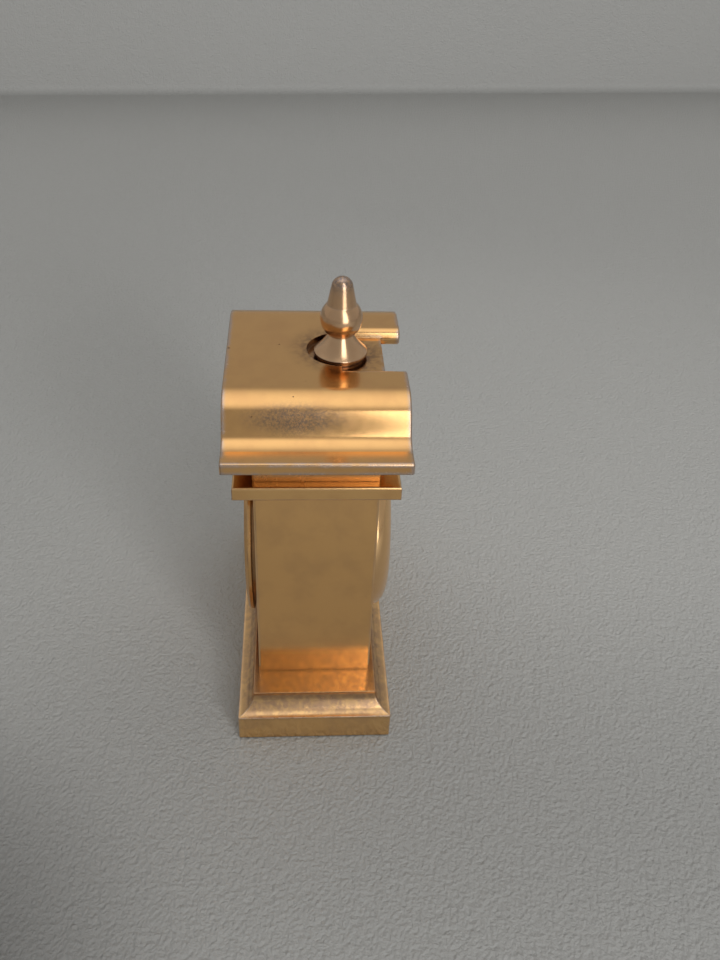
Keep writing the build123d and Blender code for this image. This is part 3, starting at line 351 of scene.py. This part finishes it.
def make_moulded_skin():
    """Moulded plastic: a fine eggshell of noise, faint flow clouds and a few dust specks."""
    inputs = [
        ("Colour", "Color", (0.05, 0.05, 0.05, 1)),
        ("Gloss", "Float", 0.45),
        ("Dust", "Float", 0.1),
    ]
    group, entry, leave = start_group("moulded_skin", inputs, surface_outputs)
    pale, dust_colour = (0.6, 0.58, 0.54, 1), (0.55, 0.52, 0.47, 1)
    flow = spread(group, noise(group, 180.0, detail=3.0), low=0.35, high=0.7, to_high=0.25)
    pale_share = 0.25
    lighter = blend_colours(group, pale_share, entry["Colour"], pale)
    tone = blend_colours(group, flow, entry["Colour"], lighter)
    dust = spread(group, noise(group, 2400.0, detail=3.0, rough=0.7), low=0.62, high=0.75)
    tone = blend_colours(group, multiply(group, dust, entry["Dust"]), tone, dust_colour)
    egg = noise(group, 5200.0)
    egg_middle, egg_rough = 0.5, 0.2
    swing = compute(group, "SUBTRACT", egg, egg_middle)
    rough = compute(group, "MULTIPLY_ADD", swing, egg_rough, entry["Gloss"])
    return finish_group(group, leave, {"Colour": tone, "Roughness": rough, "Height": egg})


def make_turned_metal():
    """Machined sheet or bar: thin drawn lines along one axis, with a slight change of tone."""
    inputs = [
        ("Colour", "Color", (0.6, 0.6, 0.6, 1)),
        ("Gloss", "Float", 0.25),
        ("Lines", "Vector", (300, 9000, 9000)),
    ]
    group, entry, leave = start_group("turned_metal", inputs, surface_outputs)
    lines = drawn_lines(group, entry["Lines"])
    clouds = spread(group, noise(group, 500.0, detail=3.0), low=0.4, high=0.7, to_high=0.35)
    shade = (0.6, 0.57, 0.53, 1)
    darker = blend_colours(group, 1.0, entry["Colour"], shade, "MULTIPLY")
    tone = blend_colours(group, clouds, entry["Colour"], darker)
    line_middle, line_rough = 0.4, 0.3
    swing = compute(group, "SUBTRACT", lines, line_middle)
    rough = compute(group, "MULTIPLY_ADD", swing, line_rough, entry["Gloss"])
    return finish_group(group, leave, {"Colour": tone, "Roughness": rough, "Height": lines})


gilt_surface = make_gilt_surface(make_edge_wear(), make_specks(), make_local_blotch())
moulded_skin = make_moulded_skin()
turned_metal = make_turned_metal()


# ---- Finishes ----

def finish_with(name, group, inputs, depth, metallic=0.0, softened=0.0):
    """A material whose colour, roughness and height come from one group."""
    material, tree, shader = start_material(name)
    surface = use_group(tree, group, inputs)
    feed_shader(tree, shader, {
        "Base Color": surface["Colour"], "Roughness": surface["Roughness"], "Metallic": metallic
    })
    add_bump(tree, shader, surface["Height"], depth, softened)
    return material


def gilt(name, **inputs):
    """Gilding; an underline in a keyword stands for the space in the input's name."""
    spaced = {key.replace("_", " "): value for key, value in inputs.items()}
    depth, softened = 0.0012 * mm, 0.22 * mm
    return finish_with(name, gilt_surface, spaced, depth, metallic=1.0, softened=softened)


def plastic(name, colour, gloss=0.45, dust=0.1, depth=0.004 * mm):
    inputs = {"Colour": (*colour, 1), "Gloss": gloss, "Dust": dust}
    return finish_with(name, moulded_skin, inputs, depth)


def metal(name, colour, gloss=0.25, lines=(300, 9000, 9000)):
    inputs = {"Colour": (*colour, 1), "Gloss": gloss, "Lines": lines}
    return finish_with(name, turned_metal, inputs, 0.002 * mm, metallic=1.0)


def make_glass():
    """Clear glass with a faint film that blurs it here and there."""
    material, tree, shader = start_material("glass")
    film = spread(tree, noise(tree, 150.0, detail=3.0), low=0.45, high=0.75, to_high=0.03)
    feed_shader(tree, shader, {
        "Roughness": film,
        "Base Color": (0.97, 0.98, 0.97, 1),
        "Transmission Weight": 1.0,
        "IOR": 1.5,
    })
    return material


def make_dial_paint():
    """Cream enamel with a slight sunray round the dial's axis and faint clouds of age."""
    material, tree, shader = start_material("dial_paint")
    cream, shaded_cream, aged = (0.86, 0.82, 0.70, 1), (0.80, 0.75, 0.62, 1), (0.70, 0.61, 0.45, 1)
    low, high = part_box("dial")
    axis = (0, 0, (low.z + high.z) / 2)
    around = axes_of(tree, compute_vector(tree, "SUBTRACT", object_place(tree), axis))
    angle = compute(tree, "ARCTAN2", around["Z"], around["X"])
    ray_inputs = {"W": angle, "Scale": 40.0, "Detail": 3.0}
    rays = add_node(tree, "ShaderNodeTexNoise", ray_inputs, noise_dimensions="1D").outputs["Fac"]
    shaded = spread(tree, rays, low=0.3, high=0.7, to_high=0.35)
    tone = blend_colours(tree, shaded, cream, shaded_cream)
    age = spread(tree, noise(tree, 260.0, detail=4.0), low=0.5, high=0.75, to_high=0.3)
    tone = blend_colours(tree, age, tone, aged)
    rough = spread(tree, rays, low=0.2, high=0.8, to_low=0.38, to_high=0.5)
    feed_shader(tree, shader, {"Base Color": tone, "Roughness": rough})
    add_bump(tree, shader, noise(tree, 6000.0), 0.001 * mm)
    return material


def make_ink():
    """Black ink, a little greyer and duller where it is rubbed."""
    material, tree, shader = start_material("dial_ink")
    clouds = noise(tree, 2600.0, detail=4.0, rough=0.7)
    rubbed = spread(tree, clouds, low=0.55, high=0.8, to_high=0.4)
    tone = blend_colours(tree, rubbed, (0.016, 0.015, 0.017, 1), (0.09, 0.08, 0.07, 1))
    rough = spread(tree, rubbed, low=0.0, high=0.4, to_low=0.35, to_high=0.6)
    feed_shader(tree, shader, {"Base Color": tone, "Roughness": rough})
    add_bump(tree, shader, noise(tree, 7000.0), 0.001 * mm)
    return material


def make_felt():
    """Pressed wool: short crossed fibres over soft lumps, with sheen."""
    material, tree, shader = start_material("felt")
    place = object_place(tree)
    fibres = []
    for turn in (0.4, 1.7, 2.6):
        turn_inputs = {"Vector": place, "Rotation": (0, 0, turn), "Scale": (1, 9, 1)}
        turned = add_node(tree, "ShaderNodeMapping", turn_inputs).outputs["Vector"]
        fibres.append(noise(tree, 900.0, detail=3.0, rough=0.6, vector=turned))
    fibre = compute(tree, "MAXIMUM", compute(tree, "MAXIMUM", fibres[0], fibres[1]), fibres[2])
    lump_share = 0.6
    height = compute(tree, "MULTIPLY_ADD", noise(tree, 700.0, detail=3.0), lump_share, fibre)
    dark_green, light_green = (0.018, 0.055, 0.030, 1), (0.07, 0.15, 0.09, 1)
    lit_fibre = spread(tree, fibre, low=0.5, high=0.75)
    feed_shader(tree, shader, {
        "Base Color": blend_colours(tree, lit_fibre, dark_green, light_green),
        "Roughness": 0.95,
        "Sheen Weight": 0.4,
        "Sheen Roughness": 0.6,
    })
    add_bump(tree, shader, height, 0.06 * mm)
    return material


def make_board():
    """Green circuit board with thin copper runs under the lacquer."""
    material, tree, shader = start_material("board")
    upright = {"Vector": object_place(tree), "Rotation": (math.pi / 2, 0, 0)}
    brick_inputs = {
        "Vector": add_node(tree, "ShaderNodeMapping", upright).outputs["Vector"],
        "Scale": 1.0,
        "Mortar Size": 0.09 * mm,
        "Brick Width": 2.3 * mm,
        "Row Height": 0.55 * mm,
    }
    runs = add_node(tree, "ShaderNodeTexBrick", brick_inputs).outputs["Fac"]
    dark_green, green, run_green = (0.012, 0.10, 0.045, 1), (0.02, 0.16, 0.07, 1), (0.10, 0.28, 0.10, 1)
    lacquer = blend_colours(tree, noise(tree, 900.0, detail=3.0), dark_green, green)
    feed_shader(tree, shader, {
        "Base Color": blend_colours(tree, runs, lacquer, run_green),
        "Roughness": spread(tree, runs, low=0.0, high=1.0, to_low=0.4, to_high=0.3),
    })
    add_bump(tree, shader, runs, 0.02 * mm)
    return material


def make_table_top():
    """Matt pale board: soft mottling and a shallow pebbled skin, paler on the wall.

    The tone also takes up how the room lights the table: a lit patch in front of the clock, a darker
    strip on the near side and a dark near corner.
    """
    material, tree, shader = start_material("table_top")
    grey, pale_grey, mottled = (0.39, 0.392, 0.38, 1), (0.415, 0.417, 0.405, 1), (0.375, 0.372, 0.36, 1)
    wall_grey, lit_grey, painted_shade = (0.56, 0.56, 0.545, 1), (0.47, 0.47, 0.455, 1), (0.13, 0.13, 0.125, 1)
    wall_start, lit_middle, corner_middle = 0.004, (0.08, -0.06, 0), (-0.08, 0.075, 0)
    strip_middle, strip_reach = -0.052, 0.07
    place = object_place(tree)
    axes = axes_of(tree, place)

    mottle = noise(tree, 560.0, detail=5.0, rough=0.65)
    tone = blend_colours(tree, noise(tree, 9.0, detail=3.0), grey, pale_grey)
    from_lit = compute_vector(tree, "DISTANCE", place, lit_middle)
    from_strip = compute(tree, "ABSOLUTE", compute(tree, "SUBTRACT", axes["X"], strip_middle))
    from_corner = compute_vector(tree, "DISTANCE", place, corner_middle)
    # The lit patch is painted light; the near strip and the near corner are painted shade.
    for share, colour in (
        (spread(tree, mottle, low=0.35, high=0.7, to_high=0.35), mottled),
        (spread(tree, axes["Z"], low=0.0, high=wall_start), wall_grey),
        (spread(tree, from_lit, low=0.14, high=0.03, to_high=0.55), lit_grey),
        (spread(tree, from_strip, low=0.0, high=strip_reach, to_low=0.32, to_high=0.0), painted_shade),
        (spread(tree, from_corner, low=0.066, high=0.02, to_high=0.95), painted_shade),
    ):
        tone = blend_colours(tree, share, tone, colour)

    feed_shader(tree, shader, {"Base Color": tone, "Roughness": 0.75})
    pebbles = compute(tree, "ADD", mottle, noise(tree, 1500.0, detail=3.0))
    add_bump(tree, shader, pebbles, 0.46 * mm)
    return material


plinth_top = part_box("base_plinth")[1].z
roof_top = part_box("roof_pediment")[1].z
finial_low, finial_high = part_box("finial")
finial_foot = (0, (finial_low.y + finial_high.y) / 2, roof_top)
everywhere = 1
upright_grain = (9000, 9000, 500)
worn_grey = (0.55, 0.47, 0.44, 1)
finishes = {
    "base_plinth": gilt(
        "plinth_gilt",
        Gold=(0.90, 0.57, 0.25, 1), Deep=(0.42, 0.26, 0.17, 1), Worn=worn_grey,
        Gloss=0.19, Cloud=0.3, Wear=0.7, Specks=0.7,
        Stain=0.85, Stain_Rough=0.06, Stained=(0.42, 0.26, 0.17, 1), Stain_Grain=650.0,
        Stain_Place=(0, 0, 6.8 * mm), Stain_Spread=(everywhere, everywhere, 2.7 * mm),
        # A darker band along the plinth's top.
        Smudge=0.75, Smudged=(0.46, 0.28, 0.18, 1),
        Smudge_Place=(0, 0, plinth_top), Smudge_Spread=(everywhere, everywhere, 1.6 * mm),
    ),
    # The column's brighter gold is painted light: it makes up for the painted shade on the table that
    # the column reflects.
    "body_block": gilt(
        "column_lit_gilt",
        Gold=(0.97, 0.58, 0.24, 1), Deep=(0.45, 0.27, 0.16, 1), Worn=worn_grey,
        Gloss=0.19, Cloud=0.2, Wear=0.4, Specks=0.15, Grain=upright_grain,
    ),
    "cornice_plate": gilt(
        "cornice_gilt",
        Gold=(0.90, 0.55, 0.23, 1), Worn=worn_grey, Gloss=0.18, Cloud=0.25, Wear=0.6, Specks=0.25,
    ),
    # The neck's darker, deeper gold is painted shade for the strip under the roof's overhang.
    "neck_block": gilt(
        "neck_shaded_gilt",
        Gold=(0.70, 0.38, 0.16, 1), Worn=worn_grey, Gloss=0.24, Cloud=0.5, Wear=0.2, Specks=0.2,
    ),
    "roof_pediment": gilt(
        "roof_gilt",
        Worn=worn_grey, Gloss=0.155, Cloud=0.22, Wear=1.0, Wear_Width=1.0 * mm, Specks=0.8,
        Stain=0.85, Stain_Rough=0.02, Stained=(0.27, 0.19, 0.15, 1),
        Stain_Place=(-16.4 * mm, 3.0 * mm, 57.8 * mm), Stain_Spread=(3.6 * mm, 10.0 * mm, 2.8 * mm),
        # Round the finial's foot: partly a stain, partly painted shade inside the pocket.
        Smudge=1.0, Smudged=(0.13, 0.07, 0.06, 1),
        Smudge_Place=finial_foot, Smudge_Spread=(9.2 * mm, 9.6 * mm, 8.0 * mm),
    ),
    "finial": gilt(
        "finial_gilt",
        Gold=(0.75, 0.49, 0.29, 1), Worn=worn_grey, Gloss=0.20, Cloud=0.2, Wear=0.3, Specks=0.1,
        Stain=0.95, Stained=(0.24, 0.21, 0.22, 1),
        Stain_Place=(0, -4.0 * mm, 73.2 * mm), Stain_Spread=(4.0 * mm, 4.0 * mm, 4.0 * mm),
    ),
    "bezel": gilt(
        "bezel_gilt", Gold=(0.93, 0.59, 0.29, 1), Gloss=0.20, Cloud=0.1, Wear=0.2, Specks=0.1
    ),
    "rear_cover": gilt("cover_gilt", Gloss=0.19, Cloud=0.3, Wear=0.5, Specks=0.2),
}
even_grain, coarse_grain = (5000, 5000, 5000), (400, 400, 400)
slot_finishes = {
    "steel": metal("steel", (0.62, 0.62, 0.63)),
    "iron_sheet": metal("iron_sheet", (0.42, 0.41, 0.42), gloss=0.35, lines=(400, 400, 9000)),
    "magnet": metal("magnet", (0.22, 0.22, 0.24), gloss=0.4, lines=(4000, 4000, 4000)),
    "glass": make_glass(),
    "gasket": plastic("gasket", (0.80, 0.80, 0.77), gloss=0.5, dust=0.05),
    "rubber": plastic("rubber", (0.025, 0.025, 0.027), gloss=0.7, dust=0.3, depth=0.006 * mm),
    "dial_paint": make_dial_paint(),
    "dial_ring": gilt(
        "dial_ring_gilt", Gold=(0.80, 0.58, 0.30, 1), Gloss=0.3, Cloud=0.2, Wear=0.2, Specks=0.0
    ),
    "hand_paint": plastic(
        "hand_paint", (0.012, 0.012, 0.014), gloss=0.28, dust=0.03, depth=0.001 * mm
    ),
    "black_plastic": plastic("black_plastic", (0.028, 0.028, 0.031), gloss=0.42, dust=0.22),
    "white_plastic": plastic("white_plastic", (0.78, 0.78, 0.75), dust=0.04),
    "gear_plastic": plastic(
        "gear_plastic", (0.84, 0.80, 0.70), gloss=0.38, dust=0.03, depth=0.002 * mm
    ),
    "gear_brass": metal("gear_brass", (0.76, 0.55, 0.26), gloss=0.24, lines=even_grain),
    "contact_metal": metal("contact_metal", (0.70, 0.55, 0.32), gloss=0.3, lines=(300, 6000, 6000)),
    "board": make_board(),
    "chip": plastic("chip", (0.02, 0.02, 0.022), gloss=0.5, dust=0.12),
    "bobbin": plastic("bobbin", (0.66, 0.60, 0.48), gloss=0.4, dust=0.05),
    "copper_wire": metal("copper_wire", (0.62, 0.24, 0.10), lines=coarse_grain),
}
for part in frame["record"]["subparts"]:
    name, slot = part["node"], part["material_slot"]
    mesh = nodes[name].data
    finish = finishes.get(name) or slot_finishes.get(slot) or slot_finishes["steel"]
    if len(mesh.materials):
        mesh.materials[0] = finish
    else:
        mesh.materials.append(finish)


# ---- Dial print ----

dial_low, dial_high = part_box("dial")
dial_height = (dial_low.z + dial_high.z) / 2
dial_face = dial_low.y
ink = make_ink()
ink_thickness = 0.012 * mm
hour_turn, minute_turn = math.pi / 6, math.pi / 30


def on_dial(across, up):
    """Points of the dial's plane, counted from its middle, one thickness of ink in front of it."""
    y = np.full(np.shape(across), dial_face - ink_thickness)
    return np.stack([across, y, dial_height + up], -1)


def print_ink(name, points, faces):
    """Flat quads of ink on the dial, given their thickness."""
    piece = make_piece(name, points, faces, "insert", ink, smooth=False)
    add_solidify(piece, ink_thickness, -1)


def bars(starts, ends, widths):
    """Flat bars from starts to ends: each corner is an end shifted by half a width across the bar."""
    starts, ends = np.asarray(starts, float), np.asarray(ends, float)
    along = ends - starts
    along /= np.linalg.norm(along, axis=1, keepdims=True)
    side = np.stack([-along[:, 1], along[:, 0]], 1) * np.asarray(widths, float)[:, None] / 2
    return np.stack([starts - side, ends - side, ends + side, starts + side], 1)


def print_bars(name, corners, angles):
    """Bars drawn at twelve o'clock, each turned clockwise about the dial's middle by its angle."""
    c, s = np.cos(angles)[:, None], np.sin(angles)[:, None]
    x, z = corners[..., 0], corners[..., 1]
    points = on_dial(x * c + z * s, z * c - x * s)
    print_ink(name, points, np.arange(points.shape[0] * 4).reshape(-1, 4))


numeral_foot = 8.35 * mm
numeral_head = numeral_foot + 2.0 * mm
thick, thin, serif = 0.34 * mm, 0.13 * mm, 0.11 * mm
letter_width = {"I": 0.62 * mm, "V": 1.36 * mm, "X": 1.36 * mm}
lean = 0.42 * mm
hour_words = ["XII", "I", "II", "III", "IIII", "V", "VI", "VII", "VIII", "IX", "X", "XI"]


def letter_strokes(letter, left):
    """Starts, ends and widths of the bars of one letter whose left side is given."""
    middle = left + letter_width[letter] / 2
    low, high = numeral_foot, numeral_head
    return {
        "I": [((middle, low), (middle, high), thick)],
        "V": [
            ((middle - lean, high), (middle, low), thick),
            ((middle + lean, high), (middle, low), thin),
        ],
        "X": [
            ((middle - lean, high), (middle + lean, low), thick),
            ((middle - lean, low), (middle + lean, high), thin),
        ],
    }[letter]


def draw_numerals():
    """Every hour's letters side by side, with a serif line along head and foot."""
    starts, ends, widths, angles = [], [], [], []
    for hour, word in enumerate(hour_words):
        width = sum(letter_width[letter] for letter in word)
        left = -width / 2
        strokes = [
            ((left, numeral_foot), (-left, numeral_foot), serif),
            ((left, numeral_head), (-left, numeral_head), serif),
        ]
        for letter in word:
            strokes += letter_strokes(letter, left)
            left += letter_width[letter]
        for start, end, stroke in strokes:
            starts.append(start)
            ends.append(end)
            widths.append(stroke)
            angles.append(hour * hour_turn)
    print_bars("dial_numerals", bars(starts, ends, widths), np.array(angles))


def draw_minute_ticks():
    """Sixty short bars between the track's two circles, every fifth one wide."""
    inner, outer, wide, narrow = 11.0 * mm, 11.55 * mm, 0.34 * mm, 0.12 * mm
    count = np.arange(60)
    widths = np.where(count % 5 == 0, wide, narrow)
    starts = np.stack([0 * count, np.full(len(count), inner)], 1)
    ends = np.stack([0 * count, np.full(len(count), outer)], 1)
    print_bars("minute_ticks", bars(starts, ends, widths), count * minute_turn)


def draw_circle(name, radius, width):
    """A flat ring on the dial: radius and angle on a grid of two rows."""
    steps = 180
    angle = np.linspace(0, 2 * math.pi, steps, endpoint=False)
    radii = np.array([radius - width / 2, radius + width / 2])[:, None]
    points = on_dial(radii * np.cos(angle), radii * np.sin(angle))
    print_ink(name, points, grid_faces(2, steps, wrap_columns=True))


draw_numerals()
draw_minute_ticks()
draw_circle("minute_track_outer", 11.6 * mm, 0.11 * mm)
draw_circle("minute_track_inner", 10.95 * mm, 0.11 * mm)
draw_circle("centre_circle", 7.7 * mm, 0.10 * mm)


# ---- Felt pad and coil winding, which stand for their CAD solids ----

def make_felt_pad():
    """A felt sheet: x and y on a grid, z a soft ripple of two crossed sines that fades at the rim."""
    low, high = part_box("base_felt")
    rows, columns = 120, 54
    ripple_height, fade = 0.02 * mm, 0.6 * mm
    wave_x, wave_y, bend_x, bend_y = 1.7 * mm, 1.3 * mm, 5 * mm, 3 * mm
    x = np.linspace(low.x, high.x, rows)[:, None] * np.ones((1, columns))
    y = np.linspace(low.y, high.y, columns)[None, :] * np.ones((rows, 1))
    ripple = np.sin(x / wave_x + 2 * np.sin(y / bend_y)) * np.sin(y / wave_y + x / bend_x)
    rim = np.minimum(np.minimum(x - low.x, high.x - x), np.minimum(y - low.y, high.y - y))
    z = low.z + ripple_height + ripple_height * ripple * np.clip(rim / fade, 0, 1)
    faces = grid_faces(rows, columns)[:, ::-1]
    pad = make_piece("felt_pad", np.stack([x, y, z], -1), faces, "case", make_felt())
    add_solidify(pad, high.z - low.z - 3 * ripple_height, 1)
    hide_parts("base_felt")


def make_winding():
    """Wire turns: a closed tube about X whose outer radius rises and falls once per turn of a helix."""
    low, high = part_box("coil_winding")
    middle_y, middle_z = (low.y + high.y) / 2, (low.z + high.z) / 2
    outer_gap, end_gap, ridge_height, bore_share = 0.01 * mm, 0.02 * mm, 0.05 * mm, 0.66
    outer = (high.z - low.z) / 2 - outer_gap
    turns, per_turn, around = 48, 6, 40
    along = np.linspace(0, 1, turns * per_turn + 1)
    theta = np.linspace(0, 2 * math.pi, around, endpoint=False)
    ridge = np.abs(np.sin(math.pi * turns * along[:, None] - theta[None, :] / 2))
    ends = np.minimum(1, np.minimum(along, 1 - along) * turns)[:, None]
    radius = outer - ridge_height * (1 - ridge * ends)
    x = (low.x + end_gap + along * (high.x - low.x - 2 * end_gap))[:, None] * np.ones((1, around))
    bore_x, bore_radius = x[::-1][[0, -1]], np.full((2, around), outer * bore_share)
    x, radius = np.concatenate([x, bore_x]), np.concatenate([radius, bore_radius])
    points = np.stack([x, middle_y + radius * np.cos(theta), middle_z + radius * np.sin(theta)], -1)
    faces = grid_faces(len(points), around, wrap_rows=True, wrap_columns=True)[:, ::-1]
    winding = make_piece("wire_turns", points, faces, "insert", slot_finishes["copper_wire"])
    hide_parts("coil_winding")


make_felt_pad()
make_winding()


# ---- Table and wall, light and camera ----

def make_stage():
    """A table that turns up into a wall: a profile of flat, quarter round and upright, carried along Y.

    The wall leans away from the Y axis by a small skew, as the photograph shows.
    """
    near_end, reach, bend, wall_height, half_width, skew = -1.2, 0.375, 0.004, 0.10, 1.5, -0.105
    flat_steps, bend_steps, width_steps = 30, 12, 31
    angle = np.linspace(0, math.pi / 2, bend_steps)
    flat = np.linspace(near_end, reach - bend, flat_steps)
    x = np.concatenate([flat, reach - bend + bend * np.sin(angle), [reach]])
    z = np.concatenate([0 * flat, bend - bend * np.cos(angle), [wall_height]])
    y = np.linspace(-half_width, half_width, width_steps)
    points = np.stack(np.broadcast_arrays(x[:, None] + skew * y[None, :], y[None, :], z[:, None]), -1)
    faces = grid_faces(len(x), len(y))[:, ::-1]
    make_piece("table_top", points, faces, None, make_table_top())


def make_panel(name, centre, target, width, height, radiance):
    """A soft rectangular light; its power is its radiance times pi times its area."""
    light = bpy.data.lights.new(name, "AREA")
    light.shape = "RECTANGLE"
    light.size, light.size_y = width, height
    light.energy = radiance * math.pi * width * height
    panel = bpy.data.objects.new(name, light)
    bpy.context.scene.collection.objects.link(panel)
    centre, target = Vector(centre), Vector(target)
    turned = (target - centre).to_track_quat("-Z", "Y").to_matrix().to_4x4()
    panel.matrix_world = Matrix.Translation(centre) @ turned
    panel.visible_camera = False
    return panel


def make_world():
    """Room light: dim low down, bright overhead; the bright part ends more sharply on the side of -X.

    Its level grows with the height of the direction. The heights at which it starts to grow and reaches
    full strength, and the dim level, change from one side to the other.
    """
    world = bpy.data.worlds.new("room")
    bpy.context.scene.world = world
    world.use_nodes = True
    tree = world.node_tree
    look = axes_of(tree, add_node(tree, "ShaderNodeTexCoord").outputs["Generated"])
    heights = {
        "Value": look["Z"],
        "From Min": spread(tree, look["X"], low=-0.25, high=0.25, to_low=0.885, to_high=0.60),
        "From Max": spread(tree, look["X"], low=-0.2, high=0.2, to_low=0.985, to_high=1.0),
        "To Min": spread(tree, look["X"], low=-0.3, high=0.3, to_low=0.32, to_high=0.37),
        "To Max": 1.22,
    }
    level = add_node(tree, "ShaderNodeMapRange", heights).outputs["Result"]
    feed_shader(tree, tree.nodes["Background"], {"Color": (1.0, 0.985, 0.96, 1), "Strength": level})


def make_camera():
    """The photograph's viewpoint: place, heading, dip and roll, and the focal length in pixels."""
    place = Vector((-132.72 * mm, 3.02 * mm, 134.23 * mm))
    heading, dip, roll, focal_pixels, long_side = -0.0836, 0.6437, 0.0482, 949.5, 960
    level = Vector((math.cos(heading), math.sin(heading), 0))
    ahead = level * math.cos(dip) - Vector((0, 0, math.sin(dip)))
    right = ahead.cross(Vector((0, 0, 1))).normalized()
    above = right.cross(ahead)
    right, above = (
        right * math.cos(roll) + above * math.sin(roll),
        above * math.cos(roll) - right * math.sin(roll),
    )
    data = bpy.data.cameras.new("camera")
    data.sensor_width = 36.0
    data.lens = focal_pixels / long_side * data.sensor_width
    data.clip_start, data.clip_end = 5 * mm, 20.0
    camera = bpy.data.objects.new("camera", data)
    bpy.context.scene.collection.objects.link(camera)
    axes = Matrix((right, above, -ahead)).transposed()
    camera.matrix_world = Matrix.Translation(place) @ axes.to_4x4()
    bpy.context.scene.camera = camera


make_stage()
make_world()
make_panel(
    "window_panel", centre=(-0.4855, -0.1864, 0.48), target=(0, 0, 0.48), width=0.24, height=0.90,
    radiance=2.7,
)
shadow_panel = make_panel(
    "shadow_panel", centre=(-0.45, -0.24, 0.27), target=(0, 0, 0.03), width=0.11, height=0.11,
    radiance=18.5,
)
shadow_panel.visible_glossy = False
make_camera()
bpy.context.scene.view_settings.view_transform = "Standard"
